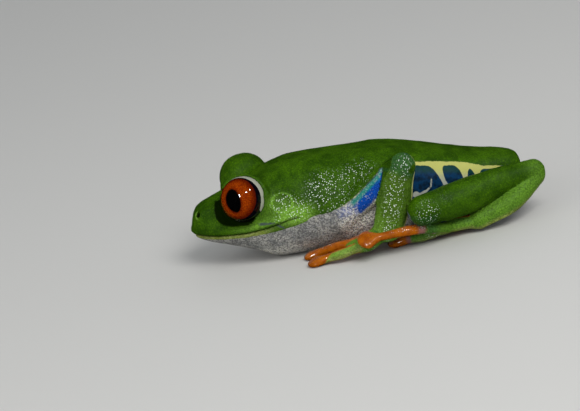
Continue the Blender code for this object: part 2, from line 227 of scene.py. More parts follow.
@dataclass
class Trunk:
    """Head and trunk in one, as squared ovals whose sizes change from the snout to the vent."""

    # station, half width, back, belly, height of the widest point, squareness above it and below it
    lines: tuple[tuple[float, ...], ...] = (
        (-0.9, 0.8, 7.9, 6.7, 7.3, 2.0, 2.0),
        (-0.5, 2.0, 9.2, 6.1, 7.5, 2.1, 2.0),
        (0.0, 2.7, 10.5, 5.6, 7.5, 2.2, 2.0),
        (0.9, 3.6, 11.5, 5.1, 7.4, 2.3, 2.0),
        (3.5, 5.4, 12.5, 4.1, 7.1, 2.3, 1.9),
        (6.0, 6.7, 13.3, 3.3, 7.1, 2.3, 1.9),
        (10.0, 8.3, 14.5, 1.6, 7.3, 2.3, 2.0),
        (15.0, 9.5, 16.7, -0.2, 7.8, 2.3, 2.3),
        (20.0, 10.0, 17.6, -0.4, 8.1, 2.4, 2.3),
        (27.0, 10.5, 17.2, -0.5, 7.6, 2.5, 2.1),
        (35.0, 10.9, 16.7, -0.5, 6.6, 2.7, 2.2),
        (42.0, 9.7, 15.1, -0.5, 6.2, 2.9, 2.0),
        (48.0, 8.2, 13.4, -0.4, 6.0, 2.8, 2.0),
        (54.0, 6.2, 11.9, 0.8, 6.0, 2.5, 2.1),
        (58.6, 4.5, 11.1, 2.6, 6.4, 2.3, 2.0),
        (60.6, 3.0, 10.1, 4.0, 6.8, 2.2, 2.0),
        (61.4, 1.4, 8.5, 5.6, 7.0, 2.0, 2.0),
    )
    end_rounding: float = 0.5
    true_depth: float = 4.0  # how far from the surface the distance is made true
    slope_step: float = 0.05
    slope_range: tuple[float, float] = (0.4, 6.0)

    def _reach(self, points: Array) -> Array:
        """Distance to the side of the trunk along the line from its middle."""
        x, y, z = points.T
        stations, *columns = zip(*self.lines)
        half, back, belly, widest, above, below = (rise(stations, column, x) for column in columns)
        upper = z >= widest
        square = np.where(upper, above, below)
        tall = np.where(upper, back - widest, widest - belly)
        share = (np.abs(y) / half) ** square + (np.abs(z - widest) / tall) ** square
        share = np.maximum(share, 0.02) ** (1 / square)
        return np.maximum(np.hypot(y, z - widest), 0.3) * (1 - 1 / share)

    def distance(self, points: Array) -> Array:
        """Signed distance to the surface, negative inside."""
        here = self._reach(points)
        close = np.abs(here) < self.true_depth
        places, step = points[close], self.slope_step
        slopes = [(self._reach(places + axis * step) - here[close]) / step for axis in AXES]
        here[close] /= np.clip(np.sqrt(sum(s * s for s in slopes)), *self.slope_range)
        here = smooth_max(here, self.lines[0][0] - points[:, 0], self.end_rounding)
        return smooth_max(here, points[:, 0] - self.lines[-1][0], self.end_rounding)


@dataclass
class Tube:
    """A limb, digit or fringe: an oval tube with round ends along a smooth path."""

    name: str
    joints: Sequence[Point]
    widths: Sequence[float]
    depths: Sequence[float]
    facing: Point = (0, 0, 1)
    side: Side = Side.LEFT
    move: Point = (0, 0, 0)
    spacing: float = 0.3
    steps: int = 24  # straight pieces between two joints
    core: float = 0.3  # share of the way out below which a place counts as deep inside
    core_depth: float = 0.7

    def __post_init__(self) -> None:
        """Lays samples along the path, each with its frame and half sizes."""
        joints = np.asarray(self.joints, float) + self.move
        ends = [2 * joints[0] - joints[1], *joints, 2 * joints[-1] - joints[-2]]
        path = []
        for a, b, c, d in zip(ends, ends[1:], ends[2:], ends[3:]):
            for t in np.arange(self.steps) / self.steps:
                bend = 2 * b + (c - a) * t + (2 * a - 5 * b + 4 * c - d) * t * t
                path.append(0.5 * (bend + (3 * b - a - 3 * c + d) * t**3))
        path = np.array([*path, joints[-1]])
        travelled = np.concatenate([[0], np.cumsum(apart(path[1:], path[:-1]))])
        self.length = float(travelled[-1])
        self.marks = np.linspace(0, self.length, max(4, round(self.length / self.spacing)) + 1)
        self.centres, before, after = (self._read(path, travelled, self.marks + d) for d in (0, -0.1, 0.1))
        ahead = after - before
        self.ahead = ahead / np.linalg.norm(ahead, axis=1)[:, None]
        across = np.cross(self.ahead, self.facing)
        self.across = across / np.linalg.norm(across, axis=1)[:, None]
        self.outward = np.cross(self.across, self.ahead)
        at_joints = travelled[:: self.steps]
        self.half_widths = rise(at_joints, self.widths, self.marks)
        self.half_depths = rise(at_joints, self.depths, self.marks)

    @staticmethod
    def _read(path: Array, travelled: Array, marks: Array) -> Array:
        """Places at distances along a path."""
        return np.stack([np.interp(marks, travelled, path[:, k]) for k in range(3)], axis=1)

    def at(self, share: float) -> Array:
        """The place at a share of the length, as on the left side."""
        return self._read(self.centres, self.marks, np.array([share * self.length]))[0]

    def edge(self, angle: float, marks: Sequence[float], reach: float) -> Array:
        """Places on the tube's surface, as on the left side.

        Args:
            angle: Degrees round the tube, 0 across and 90 towards facing.
            marks: Shares of the length.
            reach: How far from the middle, 1 being on the surface.

        Returns:
            One place for each mark.
        """
        turn = math.radians(angle)
        k = np.round(np.asarray(marks) * (len(self.marks) - 1)).astype(int)
        wide, deep = self.half_widths[k, None] * math.cos(turn), self.half_depths[k, None] * math.sin(turn)
        return self.centres[k] + reach * (self.across[k] * wide + self.outward[k] * deep)

    def box(self, margin: float) -> tuple[Array, Array]:
        """Lowest and highest corner of the room it takes."""
        size = np.maximum(self.half_widths, self.half_depths)[:, None] + margin
        return room((self.centres - size).min(axis=0), (self.centres + size).max(axis=0), self.side)

    def measure(self, points: Array) -> tuple[Array, Array, Array]:
        """Where places lie against the tube, worked out for as many at once as fit in memory.

        Args:
            points: One row of x, y and z for each place.

        Returns:
            Signed distance to the surface, share of the length, and degrees round the tube.
        """
        at_once = 40000
        parts = [self._measure(points[k : k + at_once]) for k in range(0, len(points), at_once)]
        return tuple(np.concatenate(column) for column in zip(*parts)) if parts else (np.zeros(0),) * 3

    def _measure(self, points: Array) -> tuple[Array, Array, Array]:
        """measure, for one lot of places."""
        here = points * (1, self.side.value, 1)
        k = squared_gaps(here, self.centres).argmin(axis=1)
        ways = (self.ahead, self.across, self.outward)
        forward, sideways, out = (((here - self.centres[k]) * way[k]).sum(axis=1) for way in ways)
        after_end = np.where(k == len(self.marks) - 1, np.maximum(forward, 0), 0)
        beyond = np.where(k == 0, np.minimum(forward, 0), after_end)
        along = np.clip(self.marks[k] + forward, 0, self.length)
        wide, deep = (np.interp(along, self.marks, sizes) for sizes in (self.half_widths, self.half_depths))
        radius = np.sqrt(sideways**2 + out**2 + beyond**2)
        share = np.sqrt((sideways / wide) ** 2 + (out / deep) ** 2 + (beyond / wide) ** 2)
        middle = share < self.core
        outer = radius - radius / np.where(middle, 1, share)
        distance = np.where(middle, -self.core_depth * np.minimum(wide, deep), outer)
        return distance, along / self.length, np.degrees(np.arctan2(out, sideways))


@dataclass
class Sheet:
    """A web between two digits, as a thin slab that is hollowed at its free edge."""

    name: str
    first: Tube
    second: Tube
    first_end: float
    second_end: float
    sag: float = 0.3
    half: float = 0.32

    def __post_init__(self) -> None:
        """Covers the web in places a third of a millimetre apart."""
        self.side = self.first.side
        places = []
        for share in np.linspace(0, 1, 12):
            hollow = 1 - self.sag * 4 * share * (1 - share)
            for reach in np.linspace(0, 1, 14) * hollow:
                a, b = self.first.at(reach * self.first_end), self.second.at(reach * self.second_end)
                places.append(a + (b - a) * share)
        self.places = np.array(places)

    def box(self, margin: float) -> tuple[Array, Array]:
        """Lowest and highest corner of the room it takes."""
        low, high = self.places.min(axis=0) - margin - self.half, self.places.max(axis=0) + margin + self.half
        return room(low, high, self.side)

    def measure(self, points: Array) -> tuple[Array, Array, Array]:
        """Signed distance to the surface, with zeros for the two measures that only a tube has."""
        gaps = squared_gaps(points * (1, self.side.value, 1), self.places).min(axis=1)
        return np.sqrt(np.maximum(gaps, 0)) - self.half, np.zeros(len(points)), np.zeros(len(points))


class Clay:
    """A block of space that holds the distance to the frog's surface, joined part by part."""

    FAR = 5.0
    MARGIN = 1.5  # how far outside its own room a part can change the values

    def __init__(self, low: Point, high: Point, step: float) -> None:
        """Lays out the grid, with nothing in it."""
        self.step = step
        self.axes = [np.arange(a, b + step, step) for a, b in zip(low, high)]
        self.values = np.full([len(a) for a in self.axes], self.FAR)

    def _block(self, low: Array, high: Array) -> tuple[slice, ...]:
        """The part of the grid between two corners."""
        return tuple(
            slice(max(0, int(np.searchsorted(axis, a)) - 1), int(np.searchsorted(axis, b)) + 1)
            for axis, a, b in zip(self.axes, low, high)
        )

    def _places(self, block: tuple[slice, ...]) -> Array:
        """The places of a part of the grid, one row each."""
        axes = np.meshgrid(*(axis[cut] for axis, cut in zip(self.axes, block)), indexing="ij")
        return np.stack([a.ravel() for a in axes], axis=1)

    def join(self, part: "Tube | Sheet", blend: Callable[[Array], Array]) -> None:
        """Adds a part, rounded where it meets what is there."""
        low, high = part.box(self.MARGIN)
        self.change(low, high, lambda at, there: smooth_min(there, part.measure(at)[0], blend(at)))

    def change(self, low: Array, high: Array, how: Callable[[Array, Array], Array]) -> None:
        """Reworks the values between two corners.

        Args:
            low: Lowest corner.
            high: Highest corner.
            how: Takes the places and their values, and returns new values.
        """
        block = self._block(low, high)
        there = self.values[block]
        self.values[block] = how(self._places(block), there.ravel()).reshape(there.shape)

    def rework_skin(self, depth: float, how: Callable[[Array], Array]) -> None:
        """Raises the surface by a height that is worked out only near it."""
        near = np.argwhere(np.abs(self.values) < depth)
        places = np.stack([self.axes[k][near[:, k]] for k in range(3)], axis=1)
        self.values[tuple(near.T)] -= how(places)

    def surface(self) -> tuple[Array, Array]:
        """The zero surface, with one vertex in each cell that it crosses.

        Returns:
            The vertices in millimetres, and the quads with their outside to the right.
        """
        values, inside = self.values, self.values < 0
        size = np.array(values.shape)
        blocks = (inside[tuple(slice(d, n - 1 + d) for n, d in zip(size, corner))] for corner in CORNERS)
        count = sum(block.astype(int) for block in blocks)
        cells = np.argwhere((count > 0) & (count < 8))
        number = np.full(size - 1, -1)
        number[tuple(cells.T)] = np.arange(len(cells))
        total, crossed = np.zeros((len(cells), 3)), np.zeros(len(cells))
        for start, way in product(CORNERS, AXES[::-1]):
            if way @ start:
                continue
            at_start, at_stop = (values[tuple(at.T)] for at in (cells + start, cells + start + way))
            cross = (at_start < 0) != (at_stop < 0)
            t = np.where(cross, at_start / np.where(cross, at_start - at_stop, 1), 0)
            total += (start + t[:, None] * way) * cross[:, None]
            crossed += cross
        vertices = (cells + total / crossed[:, None]) * self.step + [axis[0] for axis in self.axes]
        quads = []
        for axis in range(3):
            ahead, u, v = AXES[axis], AXES[(axis + 1) % 3], AXES[(axis + 2) % 3]
            first = inside[tuple(slice(0, n - d) for n, d in zip(size, ahead))]
            second = inside[tuple(slice(d, n) for n, d in zip(size, ahead))]
            edges = np.argwhere(first != second)
            edges = edges[((edges - u - v >= 0) & (edges < size - 1)).all(axis=1)]
            quad = np.stack([number[tuple((edges - back).T)] for back in (0 * u, u, u + v, v)], axis=1)
            quads.append(np.where(first[tuple(edges.T)][:, None], quad, quad[:, ::-1]))
        return vertices, np.concatenate(quads)

    def read(self, points: Array) -> tuple[Array, Array]:
        """The value and its slope at places between the grid's own.

        Args:
            points: One row of x, y and z for each place.

        Returns:
            Values, and one row of slopes for each place.
        """
        cell = (points - [axis[0] for axis in self.axes]) / self.step
        base = np.clip(np.floor(cell).astype(int), 0, np.array(self.values.shape) - 2)
        t = cell - base
        value, slope = np.zeros(len(points)), np.zeros((len(points), 3))
        for corner in CORNERS:
            at = self.values[tuple((base + corner).T)]
            share = np.where(corner, t, 1 - t)
            value += at * share.prod(axis=1)
            for k, sign in enumerate(np.where(corner, 1.0, -1.0)):
                slope[:, k] += at * sign * np.delete(share, k, axis=1).prod(axis=1) / self.step
        return value, slope


@dataclass
class EyeShape:
    """Place and size of an eye, and how far its lids are open, as on the left side."""

    centre: Array
    opening: Array
    opening_offset: float
    radius: float = 4.2
    lid_radius: float = 4.66
    lid_width: float = 0.55
    lid_blend: float = 1.5
    rim_rounding: float = 0.35
    socket_radius: float = 4.12
    gaze: Point = (-0.47, -0.815, 0.34)

    def mould(self, side: Side) -> Callable[[Array, Array], Array]:
        """Swells the head over the eye and opens the lids.

        Args:
            side: The side of the head.

        Returns:
            A change for the clay round the eye.
        """

        def change(places: Array, values: Array) -> Array:
            """The values with the eye's dome, lids and socket in them."""
            offset = places * (1, side.value, 1) - self.centre
            away = np.linalg.norm(offset, axis=1)
            values = smooth_min(values, away - self.lid_radius, self.lid_blend)
            ahead = offset @ self.opening
            beside = np.sqrt(np.maximum((offset**2).sum(axis=1) - ahead**2, 0))
            opened = np.maximum(self.opening_offset - ahead, beside - self.lid_radius - self.lid_width)
            values = smooth_max(values, -opened, self.rim_rounding)
            return np.maximum(values, self.socket_radius - away)

        return change


EYES = {
    Side.LEFT: EyeShape(np.array((9.75, -7.0, 13.2)), unit((-0.33, -0.875, 0.355)), 0.3),
    Side.RIGHT: EyeShape(np.array((10.4, -7.0, 13.2)), unit((-0.12, -0.94, 0.3)), 2.0),
}


def eye_middles(points: Array) -> Array:
    """Middle of the eye on each place's side of the head, as on the left side."""
    return np.where(points[:, 1:2] > 0, EYES[Side.RIGHT].centre, EYES[Side.LEFT].centre)


# ---------------------------------------------------------------- limbs


def near(place: Point, reach: float, strong: float, base: float = 0.12, side: Side = Side.LEFT) -> Callable:
    """A rounding, strong within reach of one joint and as its base elsewhere."""
    centre = np.array(place) * (1, side.value, 1)
    return lambda places: base + (strong - base) * bell(apart(places, centre), reach)


@dataclass
class Digit:
    """One finger or toe as on the left side: knuckle, middle joint and the middle of its round pad."""

    name: str
    knuckle: Point
    middle: Point
    pad: Point
    pad_radius: float
    web_end: float
    girth: float = 1.0
    facing: Point = (0, 0, 1)
    widths: tuple[float, ...] = (1.0, 1.0, 0.85)
    depths: tuple[float, ...] = (0.95, 0.95, 0.8)
    pad_depth: float = 0.8
    neck_length: float = 2.4

    def tube(self, side: Side, move: Point) -> Tube:
        """The digit as a tube that widens into its pad."""
        pad, middle = np.array(self.pad), np.array(self.middle)
        share = min(self.neck_length / np.linalg.norm(middle - pad), 0.6)
        neck = tuple(pad + (middle - pad) * share)
        joints = (self.knuckle, self.middle, neck, self.pad)
        widths = (*(width * self.girth for width in self.widths), self.pad_radius)
        depths = (*(depth * self.girth for depth in self.depths), self.pad_depth)
        return Tube(f"{self.name}_{side.word}", joints, widths, depths, self.facing, side, move)


FINGERS = (
    Digit("finger_4", (29.2, -14.5, 2.6), (25.2, -14.3, 1.7), (20.8, -13.0, 0.77), 1.9, 0.42),
    Digit("finger_3", (28.8, -12.7, 2.9), (25.0, -11.4, 2.3), (20.2, -8.8, 0.77), 1.75, 0.42, 0.95),
    Digit("finger_2", (29.4, -11.8, 2.8), (27.2, -10.3, 1.9), (24.3, -8.1, 0.77), 1.5, 0.4, 0.85),
    Digit("finger_1", (30.8, -11.4, 2.9), (30.1, -9.9, 1.8), (28.3, -8.3, 0.77), 1.3, 0.35, 0.8),
)
INNER_TOES = (
    Digit("toe_5", (44.6, -12.1, 2.0), (40.6, -12.2, 1.3), (35.7, -10.9, 0.77), 1.85, 0.4, 0.9),
    Digit("toe_3", (44.2, -11.3, 1.9), (42.0, -10.4, 1.15), (39.3, -9.4, 0.77), 1.55, 0.45, 0.7),
    Digit("toe_2", (45.6, -10.3, 1.8), (44.4, -9.0, 1.1), (42.8, -8.0, 0.77), 1.3, 0.42, 0.7),
    Digit("toe_1", (47.2, -9.9, 1.6), (47.0, -8.7, 1.05), (46.2, -7.2, 0.77), 1.1, 0.35, 0.7),
)
LIFTED_TOE = Digit(
    "toe_4", (44.9, -13.2, 2.5), (38.6, -16.2, 4.2), (30.4, -16.9, 4.3), 2.05, 0.34, 0.92, (0, -0.5, 0.86)
)
RESTING_TOE = Digit("toe_4", (44.7, -12.9, 2.1), (40.2, -14.8, 1.3), (33.6, -16.4, 0.77), 1.9, 0.38, 0.9)


@dataclass
class Limb:
    """An arm or a leg: its lengths, its palm or sole, its digits and their webs."""

    side: Side
    lengths: dict[str, Sequence[Point]]
    sizes: dict[str, tuple]
    blends: dict[str, tuple]
    paw: tuple
    digits: Sequence[Digit]
    move: Point
    fringe: tuple  # owner, angle, first and last share of its length, and radius
    wrist_blend: tuple[float, ...] = (3.0, 0.9, 0.3)
    knuckle_blend: tuple[float, ...] = (2.4, 0.7, 0.12)
    web_share: float = 0.85

    def parts(self) -> list[tuple["Tube | Sheet", Callable]]:
        """Every part with its rounding, in the order they are joined to the trunk."""
        side, move, found, tubes = self.side, self.move, [], {}
        for name, joints in self.lengths.items():
            tubes[name] = Tube(f"{name}_{side.word}", joints, *self.sizes[name], side)
            found.append((tubes[name], near(*self.blends[name], side=side)))
        owner, angle, first, last, radius = self.fringe
        edge = tubes[owner].edge(angle, np.linspace(first, last, 7), 0.97)
        fringe = Tube(f"fringe_{side.word}", edge, (radius,) * 7, (radius,) * 7, (0.3, 0.2, 1), side)
        found.append((fringe, lambda places: 0.3))
        name, joints, widths, depths = self.paw
        paw = Tube(f"{name}_{side.word}", joints, widths, depths, (0, 0, 1), side, move)
        found.append((paw, near(np.add(joints[0], move), *self.wrist_blend, side)))
        digits = [digit.tube(side, move) for digit in self.digits]
        for digit, tube in zip(self.digits, digits):
            found.append((tube, near(np.add(digit.knuckle, move), *self.knuckle_blend, side)))
        ends = [self.web_share * digit.web_end for digit in self.digits]
        for a, b, first_end, second_end in zip(digits, digits[1:], ends, ends[1:]):
            found.append((Sheet(f"web_{a.name}", a, b, first_end, second_end), lambda places: 0.35))
        return found


def make_arm(side: Side) -> Limb:
    """The arm of one side. The right one is folded lower and lies further forward."""
    left = side is Side.LEFT
    if left:
        upper_arm = ((26.0, -8.2, 7.2), (38.8, -13.2, 15.4))
        forearm = ((38.9, -13.2, 15.5), (37.35, -13.1, 12.6), (36.3, -13.1, 9.3), (34.3, -13.4, 4.6))
    else:
        upper_arm = ((24.5, -8.2, 7.0), (35.5, -14.0, 10.0))
        forearm = ((35.5, -14.0, 10.0), (32.4, -14.5, 8.3), (29.7, -14.6, 6.5), (26.8, -14.3, 4.7))
    sizes = {
        "upper_arm": ((3.1, 2.3), (2.6, 2.0), (0.35, 1.0, -0.5)),
        "forearm": ((2.2, 2.75, 3.0, 2.6), (2.2, 2.35, 2.3, 2.0), (0, -1, 0)),
    }
    blends = {"upper_arm": (upper_arm[0], 4.5, 1.8, 0.25), "forearm": (forearm[0], 3.0, 1.0)}
    palm = ((33.2, -13.4, 4.0), (30.4, -13.4, 2.8), (28.3, -13.0, 2.4))
    paw = ("hand", palm, (1.6, 2.3, 2.1), (1.5, 1.75, 1.4))
    move = (0, 0, 0) if left else (-7.5, -0.6, 0)
    lengths = {"upper_arm": upper_arm, "forearm": forearm}
    return Limb(side, lengths, sizes, blends, paw, FINGERS, move, ("forearm", 178, 0.05, 0.9, 0.3))


def make_leg(side: Side) -> Limb:
    """The leg of one side, folded so that the foot lies under the thigh."""
    left = side is Side.LEFT
    if left:
        thigh = ((54.5, -4.4, 5.0), (49.0, -7.6, 4.7), (43.5, -11.2, 4.9))
        shank = ((41.0, -15.8, 7.3), (48.4, -12.3, 7.2), (56.1, -9.1, 7.8), (62.6, -6.7, 8.0))
        tarsus = ((62.5, -6.9, 7.0), (57.5, -10.6, 4.3), (51.0, -11.5, 2.3))
    else:
        thigh = ((53.5, -4.4, 4.6), (48.0, -7.8, 4.4), (42.5, -11.4, 4.5))
        shank = ((39.4, -15.4, 6.3), (46.4, -12.6, 6.2), (53.0, -9.2, 6.2), (58.6, -5.6, 5.8))
        tarsus = ((58.6, -5.6, 5.8), (54.0, -9.0, 3.2), (46.6, -11.8, 2.2))
    sizes = {
        "thigh": ((3.0, 3.0, 2.3), (2.6, 2.3, 1.9), (0, 0, 1)),
        "shank": ((2.8, 3.3, 2.7, 2.15), (2.75, 3.25, 2.55, 2.05), (0, 0, 1)),
        "tarsus": ((2.1, 2.0, 1.75), (2.0, 2.05, 1.8), (0, 0, 1)),
    }
    knee = tuple(np.add(shank[0], thigh[-1]) / 2)
    blends = {"thigh": (thigh[0], 4.5, 1.6, 0.25), "shank": (knee, 2.6, 1.4), "tarsus": (tarsus[0], 2.4, 1.2)}
    sole = ((51.0, -11.4, 2.0), (47.3, -11.3, 2.2), (44.6, -11.5, 2.2))
    paw = ("foot", sole, (1.2, 1.9, 2.1), (1.2, 1.25, 1.15))
    move = (0, 0, 0) if left else (-4.4, -0.3, 0)
    toes = (LIFTED_TOE if left else RESTING_TOE, *INNER_TOES)
    lengths = {"thigh": thigh, "shank": shank, "tarsus": tarsus}
    return Limb(side, lengths, sizes, blends, paw, toes, move, ("tarsus", 222, 0.6, 1.0, 0.3))


# ---------------------------------------------------------------- folds and markings


@dataclass
class Folds:
    """Lips, nostrils, eardrums and creases that the skin has over the plain shape."""

    mouth_x: tuple[float, ...] = (-0.9, 0.7, 7.3, 12.1, 14.6, 17.9, 20.5)
    mouth_z: tuple[float, ...] = (6.45, 6.55, 6.75, 7.28, 7.79, 8.5, 8.75)
    mouth_corner: float = 18.8
    nostril: Point = (0.93, -2.65, 10.5)
    eardrum: Point = (16.5, -9.2, 11.7)
    eardrum_facing: Point = (-0.05, -0.93, 0.36)
    eardrum_radius: float = 1.85
    edge_x: tuple[float, ...] = (
        -0.9, 0.7, 7.3, 12.1, 14.6, 17.9, 20.1, 21.3, 22.2, 24.1, 27.1, 29.6, 31.9, 34.0, 35.2,
        38.0, 41.0, 46.0, 50.6, 54.0, 57.0, 60.0, 61.6,
    )  # fmt: skip
    edge_z: tuple[float, ...] = (
        5.75, 5.85, 6.0, 6.4, 6.65, 7.15, 7.64, 8.3, 8.45, 8.6, 9.7, 11.4, 13.1, 14.7, 15.8,
        14.5, 13.95, 12.8, 11.45, 10.1, 9.4, 8.6, 8.2,
    )  # fmt: skip
    ear_fold: tuple[Point, ...] = (
        (13.4, -8.9, 13.4), (15.3, -8.6, 14.5), (17.6, -8.6, 14.4), (19.6, -9.2, 12.9),
        (20.9, -9.9, 11.0), (21.6, -10.2, 9.3),
    )  # fmt: skip
    snout_ridge: tuple[Point, ...] = (
        (1.6, -3.2, 11.3), (4.2, -4.1, 12.3), (6.2, -5.0, 13.3), (7.2, -5.4, 13.8),
    )  # fmt: skip
    snout_dimple: Point = (4.4, -5.6, 9.9)
    pocket_angles: tuple[float, ...] = (140, 154, 179, 195, 207, 219, 234, 255, 272, 292)
    pocket_widths: tuple[float, ...] = (0, 0.9, 1.35, 1.85, 2.12, 1.99, 1.41, 0.8, 0.67, 0)

    def mouth(self, points: Array) -> Array:
        """Height above the mouth line."""
        return points[:, 2] - rise(self.mouth_x, self.mouth_z, points[:, 0])

    def above_edge(self, points: Array) -> Array:
        """Distance above the lower edge of the green, negative below."""
        x, y, z = points.T
        over_arm = within(x, 26, 31, 36.5, 38.5)
        z = z + 0.306 * over_arm * (y + 12.8)
        step = 0.2
        here, before, after = (rise(self.edge_x, self.edge_z, x + d) for d in (0, -step, step))
        return (z - here) / np.sqrt(1 + ((after - before) / (2 * step)) ** 2)

    def pocket(self, points: Array) -> Array:
        """Distance inside the border of the folded lower lid, negative outside."""
        offset = to_left(points) - eye_middles(points)
        x, up = offset[:, 0], offset[:, 1] * 0.292 + offset[:, 2] * 0.956
        angle = np.degrees(np.arctan2(up, x)) % 360
        inside = (angle > self.pocket_angles[0]) & (angle < self.pocket_angles[-1])
        width = np.where(inside, rise(self.pocket_angles, self.pocket_widths, angle), 0)
        width = np.where(points[:, 1] > 0, width * ease(205, 225, angle), width)
        found = EyeShape.radius + width - np.hypot(x, up)
        found = np.where(width > 0.02, found, np.minimum(found, -0.3))
        return np.where(np.abs(points[:, 1]) > 2.0, found, HIDDEN)

    def drum(self, left: Array) -> tuple[Array, Array]:
        """Distance from the middle of the eardrum, beside it and out of its plane."""
        facing = unit(self.eardrum_facing)
        offset = left - self.eardrum
        out = offset @ facing
        return np.linalg.norm(offset - out[:, None] * facing, axis=1), out

    def height(self, points: Array) -> Array:
        """How far the skin stands out at places near the plain surface."""
        left = to_left(points)
        x, y, z = left.T
        mouth, edge, pocket = self.mouth(left), self.above_edge(left), self.pocket(points)
        lips = ease(self.mouth_corner + 0.8, self.mouth_corner - 0.8, x)
        total = (0.16 * within(mouth, 0.1, 0.4, 0.6, 2.2) - 0.42 * bell(mouth, 0.24)) * lips
        trunk = ease(-12.4, -11.8, y)
        ridge = 0.13 * within(edge, -0.15, 0.3, 1.0, 4.0) * trunk
        total += ridge * within(x, 0.5, 2.5, 56, 60)
        pit = apart(left, self.nostril)
        total += 0.2 * bell(pit - 0.62, 0.2) - 0.75 * bell(pit, 0.36)
        beside, out = self.drum(left)
        drum = 0.2 * bell(beside - self.eardrum_radius, 0.26) - 0.16 * ease(1.7, 1.3, beside)
        total += (drum + 0.1 * bell(beside, 0.5)) * bell(out, 1.6)
        total += 0.34 * bell(to_line(left, self.ear_fold)[0], 0.55) * ease(24, 21, x)
        total += 0.35 * bell(to_line(left, self.snout_ridge)[0], 0.7)
        total -= 0.3 * bell(apart(left, self.snout_dimple), 1.5)
        total += 0.14 * bell(pocket, 0.2) - 0.12 * ease(0.1, 0.4, pocket)
        flank = within(x, 22, 26, 55, 60) * ease(15, 13, z) * trunk
        total += 0.07 * Noise(3)(left, (3.2, 3.2, 1.1)) * flank
        total += 0.06 * Noise(4)(points, 3.4) + 0.035 * Noise(5)(points, 1.3) * ease(0.6, 1.4, z)
        return total + 0.05 * Noise(6)(points, 0.8) * ease(-0.2, -0.8, edge) * ease(24, 20, x)


# The light mask is mostly painted light and shade; on the limbs and chin it also lightens the colour.
MASKS = ("green", "bars", "orange", "blue", "teal", "light", "lip", "grain", "throat", "dark", "fade", "mark")


